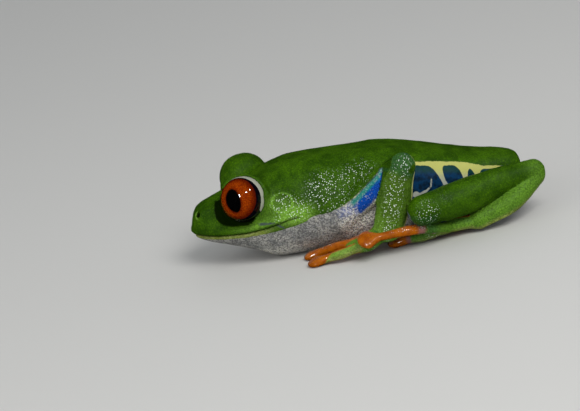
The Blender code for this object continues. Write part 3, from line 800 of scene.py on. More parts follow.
class Markings:
    """Where each colour of the skin lies, as distances and shares that the finish reads."""

    BARS = ((45.1, 46.1, 0.36), (50.1, 50.2, 0.34), (52.3, 52.6, 0.18))  # place above and below, half width
    BRANCH = ((44.0, 10.9), (43.5, 9.3), (42.5, 8.8), (41.4, 8.5))
    STREAK = ((11.8, 8.5), (12.9, 8.42), (14.2, 8.35))
    NICK = ((14.9, 7.8), (15.9, 7.2))
    CHEEK = (19.0, -9.8, 9.2)
    WEDGE = (31.5, -12.5, 11.0)
    # Spots of coarse skin, which also get painted glints.
    GRAINY = (  # place, reach and share
        ((16.6, -9.4, 11.6), 2.6, 1.0),
        ((19.0, -9.8, 10.3), 2.8, 0.95),
        ((15.4, -9.5, 8.9), 1.4, 0.7),
        ((30.5, -14.5, 1.2), 2.2, 0.8),
        ((42.5, -13.0, 1.5), 2.5, 0.65),
        ((24.8, -9.8, 12.6), 4.8, 1.0),
        ((31.0, -8.8, 14.0), 4.6, 0.8),
        ((41.6, -17.5, 7.4), 2.6, 0.9),
        ((45.0, -15.5, 8.5), 3.5, 0.45),
    )
    # millimetres of skin to a degree round each part
    DEGREE = {"thigh": 0.045, "forearm": 0.045, "shank": 0.05, "tarsus": 0.035, "paw": 0.03, "finger": 0.014}
    DIGIT_LENGTH = 8.0
    CLOSE = 0.8  # how far from a part its skin can lie
    # Painted glints along two wet digits, standing in for the shine of wet skin.
    WET_RIDGES = (("toe_4", 0.48, 0.28), ("finger_3", 0.62, 0.224))  # digit, middle and reach along it

    def __init__(self, points: Array, folds: Folds, trunk: Trunk, parts: Sequence["Tube | Sheet"]) -> None:
        """Finds the part that each vertex belongs to.

        Args:
            points: Vertices of the skin.
            folds: Its folds, which hold the lines of the face and flank.
            trunk: The trunk.
            parts: All limb parts.
        """
        count = len(points)
        self.points, self.left, self.folds = points, to_left(points), folds
        self.edge, self.side_view = folds.above_edge(self.left), self.left[:, [0, 2]]
        self.owner = np.full(count, "trunk", dtype="U24")
        self.along, self.around = np.zeros(count), np.zeros(count)
        self.values = {name: np.zeros(count) for name in MASKS}
        nearest = trunk.distance(points)
        for part in parts:
            low, high = part.box(self.CLOSE)
            close = np.flatnonzero(((points > low) & (points < high)).all(axis=1))
            distance, along, around = part.measure(points[close])
            won = distance < nearest[close]
            rows = close[won]
            nearest[rows], self.owner[rows] = distance[won], part.name
            self.along[rows], self.around[rows] = along[won], around[won] % 360

    def of(self, name: str) -> tuple[Array, Array, Array]:
        """Which vertices lie on parts whose names start so, their share of its length, and their turn."""
        rows = np.char.startswith(self.owner, name)
        return rows, self.along[rows], self.around[rows]

    def _set(self, rows: Array, **masks: Array | float) -> None:
        """Gives some vertices new values of the masks that are named."""
        for name, value in masks.items():
            self.values[name][rows] = value

    def paint(self) -> dict[str, Array]:
        """Works out every mask.

        Returns:
            One value for each vertex under each mask's name.
        """
        self._paint_trunk()
        self._paint_face()
        self._paint_arms()
        self._paint_legs()
        self._paint_grain()
        return self.values

    def _paint_trunk(self) -> None:
        """Green above, white below, and blue flanks with yellow bars between."""
        v, below = self.values, -self.edge
        x, _, z = self.left.T
        flank = within(x, 34.0, 37.0, 57.5, 59.5)
        top = 0.2 * ease(58.5, 55.0, x) + 0.06 - np.abs(below - 0.18)
        bars = np.where(x > 37.0, top - 0.35 * ease(39.5, 37.0, x), HIDDEN)
        for at_top, at_bottom, half in self.BARS:
            middle = at_top + (at_bottom - at_top) * np.clip(below / 3.0, 0, 1.5)
            width = half + 1.15 * np.exp(-np.clip(below - 0.4, 0, 9) / 0.75) + 0.12 * np.clip(below - 3, 0, 3)
            bar = np.where((below > 0) & (x > 34), width - np.abs(x - middle), HIDDEN)
            bars = smooth_max(bars, bar, 0.35)
        branch, share = to_line(self.side_view, self.BRANCH)
        bars = smooth_max(bars, 0.08 + 0.2 * share - branch, 0.2)
        bars = smooth_max(bars, 0.55 - apart(self.side_view, (40.6, 8.7)), 0.2)
        thin = 0.09 * within(x, 25.5, 27.5, 30.0, 32.5) - np.abs(below - 0.1)
        bars = np.maximum(bars, np.where((x > 25) & (x < 33), thin, HIDDEN))
        elbow = ease(38.5, 37.5, x)
        deep = within(below, 0.3, 1.3, 2.3, 3.7) * ease(27.5, 31.5, x) * elbow
        haze = 0.35 * within(x, 22.0, 27.0, 29, 33) * ease(4.2, 1.0, below)
        sea = ease(1.7, 0.5, below) * ease(27.5, 29.5, x) * elbow * (1 - 0.3 * ease(32.0, 35.0, x))
        v["green"], v["orange"][:], v["bars"] = self.edge.copy(), HIDDEN, np.maximum(bars, HIDDEN)
        v["fade"] = np.maximum(ease(0.8, 3.4, below), 0.7 * ease(34, 32, x))
        v["blue"] = np.maximum.reduce([flank * ease(4.5, 6.5, z), deep, haze])
        v["teal"] = np.maximum(sea, 0.8 * ease(2.4, 1.0, below) * flank) * ease(-0.2, 0.1, below)

    def _paint_face(self) -> None:
        """Lips, nostrils, lid folds, cheeks lit with painted light, painted shade and the marks behind the
        mouth.
        """
        v, folds, left, below = self.values, self.folds, self.left, -self.edge
        x, y, z = left.T
        mouth, pit, pocket = folds.mouth(left), apart(left, folds.nostril), folds.pocket(self.points)
        rim = bell(pit - 0.72, 0.2) * ease(-0.1, 0.4, (left - folds.nostril) @ (-0.8, 0.5, -0.3))
        v["lip"] = ease(0.0, -0.1, mouth) * ease(22.5, 20.5, x) * (1 - 0.9 * ease(10.5, 15.0, x)) + 0.2 * rim
        lips = ease(folds.mouth_corner + 1.0, folds.mouth_corner - 0.5, x)
        # Painted shade in the mouth line, nostril pits and lower lid folds; the lid folds also have darker
        # skin of their own.
        lid = 0.97 * ease(-0.05, 0.12, pocket) * (np.abs(y) > 2.5)
        v["dark"] = np.maximum.reduce([0.9 * bell(mouth + 0.02, 0.13) * lips, ease(0.62, 0.42, pit), lid])
        # Painted light and shade: the cheek and lips lighter where light falls, the snout front and crown
        # darker.
        cheek = bell(np.linalg.norm((left - self.CHEEK) / (1.5, 1.5, 0.9), axis=1), 2.2)
        lip_light = bell(mouth - 0.8, 0.9) * within(x, 4.0, 9.0, 18, 21)
        around_eye = bell(apart(left, eye_middles(self.points)) - 5.2, 0.9) * ease(8.5, 11.0, x)
        light = cheek + 0.45 * lip_light + 0.3 * around_eye - 0.35 * ease(6.0, 1.0, x)
        beside, out = folds.drum(left)
        drum = 0.5 * bell(beside - folds.eardrum_radius, 0.22) + 0.35 * bell(beside, 2.0)
        light += 1.5 * rim - 0.5 * ease(12.5, 15.5, z) + drum * bell(out, 1.5)
        # Painted light: the flank behind the upper arm is made lighter against the arm's shadow.
        light = np.maximum(light, ease(0.0, 0.3, below) * within(x, 24.0, 28.0, 36.5, 40.5))
        chin = 0.6 * ease(5.5, 2.5, z) * within(x, 6.0, 13.0, 26.0, 31.0)
        v["light"] = np.where(below > 0.3, np.maximum(light, chin), light)
        streak, nick = (to_line(self.side_view, line)[0] for line in (self.STREAK, self.NICK))
        v["mark"] = np.maximum(ease(0.26, 0.16, streak), ease(0.18, 0.1, nick)) * (y < -6)

    def _paint_arms(self) -> None:
        """Blue upper arms, green forearms with a pale seam, and orange hands with one green stripe."""
        v = self.values
        x, _, z = self.left.T
        upper_left = self.points[:, 1] < -8.5
        # Painted shade: a strip of upper arm beside the elbow is painted darker green, standing in for the
        # shaded front of the forearm.
        inner_elbow = np.minimum(x - 33.65 - 0.366 * (z - 10.9), 37.6 - x) * upper_left - 3 * (z < 9)
        v["green"] = np.maximum(v["green"], np.where(upper_left, inner_elbow, HIDDEN))
        self._set(upper_left & (inner_elbow > -0.1), light=-0.4)
        arm, _, _ = self.of("upper_arm_right")
        back = x[arm]
        lifted = z[arm] - rise((20, 27, 31, 36), (8.4, 9.4, 10.6, 11.8), back)
        self._set(arm, green=lifted, bars=0.14 - np.abs(lifted + 0.1))
        self._set(arm, blue=ease(26.5, 30.0, back) * ease(-3.2, -1.6, lifted))
        self._set(arm, teal=ease(-1.3, -0.3, lifted) * ease(26.5, 29.0, back))
        arm, along, turn = self.of("forearm")
        turn = wrap(turn, 225)
        self._set(arm, green=np.minimum(turn + 38, 176 - turn) * self.DEGREE["forearm"])
        self._set(arm, bars=0.26 - np.abs(turn - 174) * self.DEGREE["forearm"])
        self._set(arm, light=0.25 + 0.3 * ease(0.7, 1.0, along), teal=0.4 + 0.55 * ease(0.2, 0.02, along))
        self._set(arm, blue=0.55, fade=0.25, lip=0.1, dark=0)
        hand, along, turn = self.of("hand")
        outside = np.maximum(100 - turn, turn - 275) * self.DEGREE["paw"]
        self._set(hand, orange=outside + 1.2 * (along - 0.6))
        self._set(hand, green=1.0, light=0.5, blue=0.0, teal=0.8 * ease(0.45, 0.1, along), bars=HIDDEN)
        self._paint_digits("finger", "web_finger")
        outer, along, turn = self.of("finger_4")
        stripe = np.minimum(turn - 112, 232 - turn) * self.DEGREE["finger"]
        stripe = np.minimum(stripe, (0.75 + 0.002 * (turn - 172) - along) * 5.0)
        self._set(outer, orange=-stripe, green=1.0, lip=0.35 + 0.65 * ease(160, 190, turn), light=0.65)

    def _paint_digits(self, *names: str, start: float = 0.0) -> None:
        """Orange from a share of the length on, or with no share given, all over."""
        for name in names:
            rows, along, _ = self.of(name)
            self._set(rows, orange=(along - start) * self.DIGIT_LENGTH + 0.05 * (start == 0.0))
            self._set(rows, bars=HIDDEN, green=-1.0, lip=0.0, dark=0.0, fade=0.0)
            self._set(rows, light=0.0, teal=0.0, blue=0.12)

    def _paint_legs(self) -> None:
        """Blue thighs with a green stripe, green shanks and tarsi, and orange feet with a green edge."""
        leg, _, turn = self.of("thigh")
        self._set(leg, green=(32 - np.abs(turn - 90)) * self.DEGREE["thigh"])
        self._set(leg, blue=0.9, teal=0.15, bars=HIDDEN)
        leg, along, turn = self.of("shank")
        turn, knee = wrap(turn, 240), ease(0.16, 0.02, along)
        self._set(leg, green=np.minimum(turn + 88, 158 - turn) * self.DEGREE["shank"])
        self._set(leg, blue=0.55 * ease(150, 165, turn))
        self._set(leg, teal=np.maximum(0.2, 0.7 * knee * ease(30, -20, turn)), lip=0.0, dark=0.0, bars=HIDDEN)
        self._set(leg, light=0.02 + 0.35 * ease(0.8, 1.0, along) - 0.1 * knee)
        leg, _, turn = self.of("tarsus")
        self._set(leg, green=np.minimum(turn - 62, 252 - turn) * self.DEGREE["tarsus"])
        self._set(leg, lip=0.9 * ease(192, 225, turn), bars=HIDDEN, blue=0.1, dark=0.0, light=0.48)
        fringe, _, _ = self.of("fringe")
        self._set(fringe, bars=0.3, green=1.0, blue=0.0, teal=0.0, fade=0.2)
        self._set(fringe & (self.left[:, 0] > 44.0), bars=HIDDEN, lip=1.0, light=0.5)
        foot, _, turn = self.of("foot")
        self._set(foot, orange=np.maximum(118 - turn, turn - 262) * self.DEGREE["paw"])
        self._set(foot, green=1.0, bars=HIDDEN, light=0.6)
        self._set(foot, lip=0.9 * ease(175, 210, turn), teal=0.7 * ease(190, 150, turn))
        self._paint_digits("toe_1", "toe_2", "toe_3", "web_toe")
        self._paint_digits("toe_4", start=0.33)
        self._paint_digits("toe_5", start=0.7)
        toe, along, turn = self.of("toe_5")
        self._set(toe, green=1.0, light=0.65, lip=0.9 * ease(172, 205, turn), teal=0.7)
        self._set(toe, blue=0.6 * ease(0.9, 0.7, along))
        toe, along, turn = self.of("toe_4")
        self._set(toe, green=1.0, light=0.5, lip=0.6 * ease(190, 225, turn))
        self._set(toe, teal=0.45 + 0.4 * ease(0.05, 0.25, along), blue=0.6 * bell(along - 0.37, 0.07))

    def _paint_grain(self) -> None:
        """Coarse skin on the eardrum, cheek, shoulder, forearm, knee and throat, and where painted glints go.
        """
        v, left = self.values, self.left
        grain = np.full(len(left), 0.12)
        for place, size, share in self.GRAINY:
            grain = np.maximum(grain, share * bell(apart(left, place), size))
        arm, _, turn = self.of("forearm")
        grain[arm] = np.maximum(grain[arm], bell(wrap(turn, 225) - 80, 50))
        grain = np.maximum(grain, 0.3 * (self.of("shank")[0] | self.of("tarsus")[0]))
        under = ease(0.1, -0.3, v["green"]) * ease(-2.0, -2.5, v["orange"])
        v["throat"] = under * ease(40, 34, left[:, 0])
        wedge = 0.55 * bell(apart(left, self.WEDGE), 3.5) * under
        v["grain"] = np.maximum(grain * (1 - under), wedge) * ease(0.0, -0.3, v["orange"])
        # Painted glints on the wet ridges of two digits.
        for name, middle, reach in self.WET_RIDGES:
            digit, along, turn = self.of(name)
            self._set(digit, grain=bell(turn - 108, 40) * bell(along - middle, reach))


# ---------------------------------------------------------------- finishes


class Wiring:
    """Adds and joins the nodes of one material or group."""

    def __init__(self, tree: bpy.types.NodeTree) -> None:
        """Works on a node tree."""
        self.tree = tree

    def node(self, kind: str, inputs: dict | None = None, **settings: object) -> bpy.types.Node:
        """Adds a node.

        Args:
            kind: Its type.
            inputs: Values or sockets for its inputs, by name or number.
            settings: Values for its own properties.

        Returns:
            The node.
        """
        made = self.tree.nodes.new(kind)
        for name, value in settings.items():
            setattr(made, name, value)
        return self.feed(made, inputs or {})

    def feed(self, node: bpy.types.Node, inputs: dict) -> bpy.types.Node:
        """Gives a node's inputs their values or sockets, and returns the node."""
        for name, value in inputs.items():
            if isinstance(value, bpy.types.NodeSocket):
                self.tree.links.new(value, node.inputs[name])
            else:
                node.inputs[name].default_value = value
        return node

    def shade(self, inputs: dict) -> None:
        """Gives the material's shader its inputs."""
        self.feed(self.tree.nodes["Principled BSDF"], inputs)

    def math(self, operation: str, a: object, b: object) -> bpy.types.NodeSocket:
        """One sum of two values."""
        return self.node("ShaderNodeMath", {0: a, 1: b}, operation=operation).outputs[0]

    def plus(self, a: object, b: object) -> bpy.types.NodeSocket:
        """Two values added."""
        return self.math("ADD", a, b)

    def times(self, a: object, b: object) -> bpy.types.NodeSocket:
        """Two values multiplied."""
        return self.math("MULTIPLY", a, b)

    def step(self, value: object, low: float, high: float, top: float = 1.0) -> bpy.types.NodeSocket:
        """0 below low, top above high, and a soft step between them."""
        inputs = {"Value": value, "From Min": low, "From Max": high, "To Max": top}
        return self.node("ShaderNodeMapRange", inputs, interpolation_type="SMOOTHSTEP").outputs[0]

    def mix(self, share: object, a: object, b: object) -> bpy.types.NodeSocket:
        """One colour turning into another."""
        first, second = ((*colour, 1.0) if isinstance(colour, tuple) else colour for colour in (a, b))
        return self.node("ShaderNodeMix", {0: share, 6: first, 7: second}, data_type="RGBA").outputs[2]

    def layers(self, colour: object, *coats: tuple[object, object]) -> object:
        """A colour under coats of others, each given as its share and its colour."""
        for share, coat in coats:
            colour = self.mix(share, colour, coat)
        return colour

    def mask(self, name: str) -> bpy.types.NodeSocket:
        """Values that the piece's vertices hold."""
        return self.node("ShaderNodeAttribute", attribute_name=name).outputs["Fac"]

    def place(self) -> bpy.types.NodeSocket:
        """The place on the model, in metres."""
        return self.node("ShaderNodeTexCoord").outputs["Object"]

    def noise(self, size: float, detail: float = 2.0) -> bpy.types.NodeSocket:
        """Random values from 0 to 1 that change over about one size in millimetres."""
        inputs = {"Vector": self.place(), "Scale": 1 / (size * MM), "Detail": detail}
        return self.node("ShaderNodeTexNoise", inputs).outputs["Fac"]

    def ragged(self, size: float, height: float, detail: float = 2.0) -> bpy.types.NodeSocket:
        """Random values either side of zero, half a height at the most."""
        return self.times(self.plus(self.noise(size, detail), -0.5), height)


def new_material(name: str) -> tuple[bpy.types.Material, Wiring]:
    """A material and its wiring."""
    material = bpy.data.materials.new(name)
    material.use_nodes = True
    return material, Wiring(material.node_tree)


class Effects:
    """Node groups that the materials share."""

    def __init__(self) -> None:
        """Builds each group once."""
        self.mottle = self._mottle()
        self.grains = self._grains()

    @staticmethod
    def _new(name: str, inputs: dict[str, str], outputs: dict[str, str]) -> tuple[Wiring, dict]:
        """The wiring of an empty group, and the values that are given to it."""
        tree = bpy.data.node_groups.new(name, "ShaderNodeTree")
        for sockets, way in ((inputs, "INPUT"), (outputs, "OUTPUT")):
            for word, kind in sockets.items():
                tree.interface.new_socket(word, in_out=way, socket_type=f"NodeSocket{kind}")
        wiring = Wiring(tree)
        return wiring, wiring.node("NodeGroupInput").outputs

    def _mottle(self) -> bpy.types.NodeTree:
        """Two colours that run into each other in clouds with finer flecks."""
        inputs = {"First": "Color", "Second": "Color", "Scale": "Float"}
        wiring, given = self._new("mottle", inputs, {"Color": "Color"})
        cloud = {"Vector": wiring.place(), "Scale": given["Scale"], "Detail": 4.0}
        share = wiring.step(wiring.node("ShaderNodeTexNoise", cloud).outputs["Fac"], 0.34, 0.66)
        wiring.node("NodeGroupOutput", {"Color": wiring.mix(share, given["First"], given["Second"])})
        return wiring.tree

    def _grains(self) -> bpy.types.NodeTree:
        """Close-set round grains: their height, the pores between them, and a painted glint on some."""
        outputs = dict.fromkeys(("Height", "Pore", "Glint"), "Float")
        wiring, given = self._new("grains", {"Scale": "Float"}, outputs)
        place = wiring.place()
        waves = {"Vector": place, "Scale": 900.0, "Detail": 1.0}
        wobble = wiring.node("ShaderNodeTexNoise", waves).outputs["Color"]
        bent = wiring.node("ShaderNodeMix", {0: 0.0003, 4: place, 5: wobble}, data_type="VECTOR").outputs[1]
        layout = {"Vector": bent, "Scale": given["Scale"], "Randomness": 0.9}
        cells = wiring.node("ShaderNodeTexVoronoi", layout).outputs
        away = cells["Distance"]
        chance = wiring.node("ShaderNodeSeparateColor", {"Color": cells["Color"]}).outputs["Red"]
        glint = wiring.times(wiring.step(away, 0.36, 0.22), wiring.step(chance, 0.22, 0.3))
        found = {"Height": wiring.step(away, 0.62, 0.1), "Pore": wiring.step(away, 0.42, 0.7), "Glint": glint}
        wiring.node("NodeGroupOutput", found)
        return wiring.tree


@dataclass(frozen=True)
class SkinFinish:
    """Colours and sheen of the skin."""

    green: Colour = (0.052, 0.142, 0.0006)
    green_deep: Colour = (0.025, 0.08, 0.0003)
    # The darkest green is painted shade and also the colour of darker flecks and pores; the lightest is
    # painted light.
    green_dark: Colour = (0.01, 0.034, 0.0006)
    green_light: Colour = (0.24, 0.5, 0.05)
    fleck: Colour = (0.17, 0.34, 0.002)
    yellow_green: Colour = (0.37, 0.41, 0.12)
    olive: Colour = (0.24, 0.28, 0.05)
    sea_green: Colour = (0.016, 0.105, 0.042)
    turquoise: Colour = (0.008, 0.23, 0.18)
    teal_deep: Colour = (0.002, 0.045, 0.04)
    # The brightest blue is painted light on the blue.
    blue_bright: Colour = (0.003, 0.065, 0.38)
    blue: Colour = (0.001, 0.038, 0.11)
    blue_deep: Colour = (0.001, 0.014, 0.035)
    white: Colour = (0.46, 0.45, 0.41)
    grey: Colour = (0.27, 0.275, 0.265)
    # Pale is painted light on the white skin.
    pale: Colour = (0.86, 0.83, 0.75)
    pore: Colour = (0.085, 0.085, 0.085)
    yellow: Colour = (0.52, 0.52, 0.14)
    cream: Colour = (0.42, 0.44, 0.37)
    orange: Colour = (0.48, 0.125, 0.0006)
    orange_deep: Colour = (0.33, 0.07, 0.0004)
    shade: Colour = (0.003, 0.008, 0.0004)
    lilac: Colour = (0.23, 0.17, 0.23)
    bruise: Colour = (0.05, 0.055, 0.085)
    # White specks painted on some grains as glints.
    speck: Colour = (0.82, 0.9, 0.8)
    grain_size: float = 0.34
    bump_depth: float = 0.16

    def make(self, effects: Effects) -> bpy.types.Material:
        """The skin's material, whose colours follow the masks of the markings.

        Args:
            effects: The shared node groups.

        Returns:
            The material.
        """
        material, wiring = new_material("frog_skin")
        step, plus, times, mix, layers = wiring.step, wiring.plus, wiring.times, wiring.mix, wiring.layers
        masks = {name: wiring.mask(name) for name in MASKS}
        light, dark, grain, throat = (masks[name] for name in ("light", "dark", "grain", "throat"))
        size = {"Scale": 1 / (self.grain_size * MM)}
        grains = wiring.node("ShaderNodeGroup", size, node_tree=effects.grains).outputs
        pore, fine = grains["Pore"], wiring.noise(0.28)
        ragged, scatter = wiring.ragged(0.9, 0.35, 3.0), wiring.ragged(0.5, 0.7)

        def mottle(first: Colour, second: Colour, size: float) -> bpy.types.NodeSocket:
            """A mottled colour, its clouds as wide as a size in millimetres."""
            inputs = {"First": (*first, 1.0), "Second": (*second, 1.0), "Scale": 1 / (size * MM)}
            return wiring.node("ShaderNodeGroup", inputs, node_tree=effects.mottle).outputs["Color"]

        def border(name: str, soft: float) -> bpy.types.NodeSocket:
            """A slightly ragged edge at the zero line of a mask."""
            return step(plus(masks[name], ragged), -soft, soft)

        green = layers(
            mottle(self.green_deep, self.green, 2.6),
            # Painted light and shade: the light mask lightens or darkens the green.
            (step(light, 0.0, 1.0, 0.9), self.green_light),
            (step(light, 0.0, -1.0, 0.9), self.green_dark),
            (times(masks["lip"], 0.85), mottle(self.yellow_green, self.olive, 0.8)),
            (step(masks["teal"], 0.45, 1.0, 0.65), self.sea_green),
            (step(fine, 0.42, 0.7, 0.45), self.green_dark),
            (step(fine, 0.42, 0.25, 0.3), self.fleck),
            (times(pore, 0.3), self.green_dark),
        )
        # Painted light: where the light mask is high, the white skin turns pale and the blue and turquoise
        # brighter.
        lit = step(light, 0.3, 0.9)
        blue = mix(lit, mottle(self.blue_deep, self.blue, 0.9), self.blue_bright)
        under = layers(
            mottle(self.white, self.grey, 1.5),
            (times(lit, 0.9), self.pale),
            (times(step(wiring.noise(0.35), 0.5, 0.7, 0.55), throat), self.pore),
            (times(pore, 0.75), self.pore),
            (step(plus(masks["blue"], scatter), 0.12, 0.72), blue),
            (step(plus(masks["teal"], scatter), 0.2, 0.9, 0.9), mix(lit, self.teal_deep, self.turquoise)),
        )
        orange = mottle(self.orange_deep, self.orange, 1.1)
        wet = border("orange", 0.22)
        # Painted glints: pale specks on some grains stand in for highlights on wet skin.
        glint_share = times(grains["Glint"], step(grain, 0.3, 0.85, 0.95))
        colour = layers(
            under,
            (border("green", 0.07), green),
            (border("bars", 0.06), mix(masks["fade"], self.yellow, self.cream)),
            (wet, mix(step(masks["blue"], 0.15, 0.6, 0.55), orange, self.lilac)),
            (times(masks["mark"], 0.85), self.bruise),
            (glint_share, self.speck),
            # Painted shade, with the lid folds' own darker skin.
            (dark, self.shade),
        )
        rough = plus(step(fine, 0.2, 0.8, 0.16), 0.36)
        rough = plus(plus(rough, times(wet, -0.16)), times(glint_share, -0.2))
        strength = plus(times(wiring.math("MAXIMUM", grain, throat), 0.9), 0.16)
        bumps = plus(times(grains["Height"], strength), times(fine, plus(times(wet, 1.3), 0.25)))
        bump = {"Height": bumps, "Strength": 0.7, "Distance": self.bump_depth * MM}
        wiring.shade(
            {
                "Base Color": colour,
                "Roughness": rough,
                "Normal": wiring.node("ShaderNodeBump", bump).outputs["Normal"],
                "Specular IOR Level": plus(times(dark, -0.1), 0.1),
                "Coat Weight": wet,
                "Coat Roughness": 0.12,
                "Coat IOR": 1.75,
                "Subsurface Weight": 0.1,
                "Subsurface Radius": (0.8, 1.0, 0.5),
                "Subsurface Scale": 0.6 * MM,
            }
        )
        return material


@dataclass(frozen=True)
class EyeFinish:
    """Colours of the eye from the pupil out."""

    pupil: Colour = (0.001, 0.001, 0.001)
    iris: Colour = (0.25, 0.024, 0.001)
    iris_bright: Colour = (0.36, 0.06, 0.002)
    iris_dark: Colour = (0.055, 0.002, 0.001)
    ring: Colour = (0.002, 0.002, 0.004)
    white: Colour = (0.42, 0.43, 0.34)
    iris_end: float = 62.8
    iris_border: float = 1.5

    def make(self) -> bpy.types.Material:
        """The eye's material, which reads the angle from the pupil and the distance to its edge."""
        material, wiring = new_material("frog_eye")
        step, plus, times = wiring.step, wiring.plus, wiring.times
        angle, slit, turn, ring = (wiring.mask(name) for name in ("angle", "slit", "turn", "ring"))
        spokes = wiring.node("ShaderNodeCombineXYZ", {"X": times(turn, 0.16), "Y": times(angle, 0.045)})
        swirl = {"Vector": spokes.outputs[0], "Scale": 2.4, "Detail": 5.0, "Distortion": 1.2}
        veins = wiring.node("ShaderNodeTexNoise", swirl).outputs["Fac"]
        cells = {"Vector": wiring.place(), "Scale": 2300.0}
        net = wiring.node("ShaderNodeTexVoronoi", cells, feature="DISTANCE_TO_EDGE").outputs["Distance"]
        ragged = wiring.ragged(0.4, 3.0)
        iris_end, soft = self.iris_end, self.iris_border
        colour = wiring.layers(
            self.iris,
            (step(veins, 0.42, 0.62), self.iris_bright),
            (step(net, 0.16, 0.0, 0.55), self.iris_dark),
            (step(angle, 40.0, iris_end, 0.85), self.iris_dark),
            (step(slit, 0.34, 0.0, 0.6), self.iris_dark),
            (step(plus(angle, ragged), iris_end - soft, iris_end + soft), self.ring),
            (step(plus(ring, ragged), -1.0, 1.0), self.white),
            (step(slit, 0.05, -0.05), self.pupil),
        )
        sheen = {"Roughness": 0.35, "Specular IOR Level": 0.0}
        tears = {"Coat Weight": 1.0, "Coat Roughness": 0.02, "Coat IOR": 1.5}
        wiring.shade({"Base Color": colour, **sheen, **tears})
        return material


# ---------------------------------------------------------------- pieces


def to_scene(points: Array) -> Array:
    """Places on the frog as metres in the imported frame, found from where its eye lies."""
    low, high = (np.array(corner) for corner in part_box("eye_left"))
    return (points - EYES[Side.LEFT].centre) * MM + (low + high) / 2


def add_mesh(
    name: str, points: Array, faces: Array, masks: dict[str, Array], material: bpy.types.Material
) -> bpy.types.Object:
    """A smooth mesh with one value for each vertex under each mask's name.

    Args:
        name: Name of the piece.
        points: Its vertices in millimetres on the frog.
        faces: Its faces as rows of vertex numbers.
        masks: Values for the vertices.
        material: Its finish.

    Returns:
        The piece, riding on the model's one body.
    """
    mesh = bpy.data.meshes.new(name)
    mesh.from_pydata(to_scene(points), [], faces.tolist())
    for word, values in masks.items():
        mesh.attributes.new(word, "FLOAT", "POINT").data.foreach_set("value", values.astype(np.float32))
    mesh.materials.append(material)
    mesh.shade_smooth()
    obj = bpy.data.objects.new(name, mesh)
    bpy.context.scene.collection.objects.link(obj)
    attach(obj, "root")
    log.info("%s: %d vertices, %d faces", name, len(points), len(faces))
    return obj


@dataclass
class Skin:
    """The one skin that covers head, trunk, limbs and digits."""

    trunk: Trunk = field(default_factory=Trunk)
    step: float = 0.25
    quick_step: float = 1.6
    low: Point = (-1.75, -19.25, -0.5)
    high: Point = (65.5, 19.25, 18.25)
    eye_reach: float = 7.5
    fold_depth: float = 1.2
    rounds: int = 3
    least_slope: float = 0.15
    longest_move: float = 0.12

    def build(self, effects: Effects) -> None:
        """Joins all parts, folds the skin, draws its surface and paints it."""
        clay = Clay(self.low, self.high, self.step * (1.0))
        clay.change(self.low, self.high, lambda places, _: self.trunk.distance(places))
        for side in Side:
            spot = EYES[side].centre * (1, side.value, 1)
            clay.change(spot - self.eye_reach, spot + self.eye_reach, EYES[side].mould(side))
        limbs = (make_arm(Side.LEFT), make_arm(Side.RIGHT), make_leg(Side.LEFT), make_leg(Side.RIGHT))
        parts = [pair for limb in limbs for pair in limb.parts()]
        for part, blend in parts:
            clay.join(part, blend)
        folds = Folds()
        clay.rework_skin(self.fold_depth, folds.height)
        clay.change(self.low, self.high, lambda places, values: np.maximum(values, -places[:, 2]))
        points, quads = clay.surface()
        points = self._settle(points, clay)
        masks = Markings(points, folds, self.trunk, [part for part, _ in parts]).paint()
        skin = add_mesh("skin", points, quads, masks, SkinFinish().make(effects))
        fleshy = [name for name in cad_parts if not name.startswith("eye_")]
        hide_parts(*fleshy)

    def _settle(self, points: Array, clay: Clay) -> Array:
        """Moves each vertex onto the zero surface, and onto the floor where it would pass below."""
        for _ in range(self.rounds):
            value, slope = clay.read(points)
            steep = np.maximum((slope**2).sum(axis=1), self.least_slope)
            points = points - np.clip((value / steep)[:, None] * slope, -self.longest_move, self.longest_move)
        points[:, 2] = np.maximum(points[:, 2], 0)
        return points


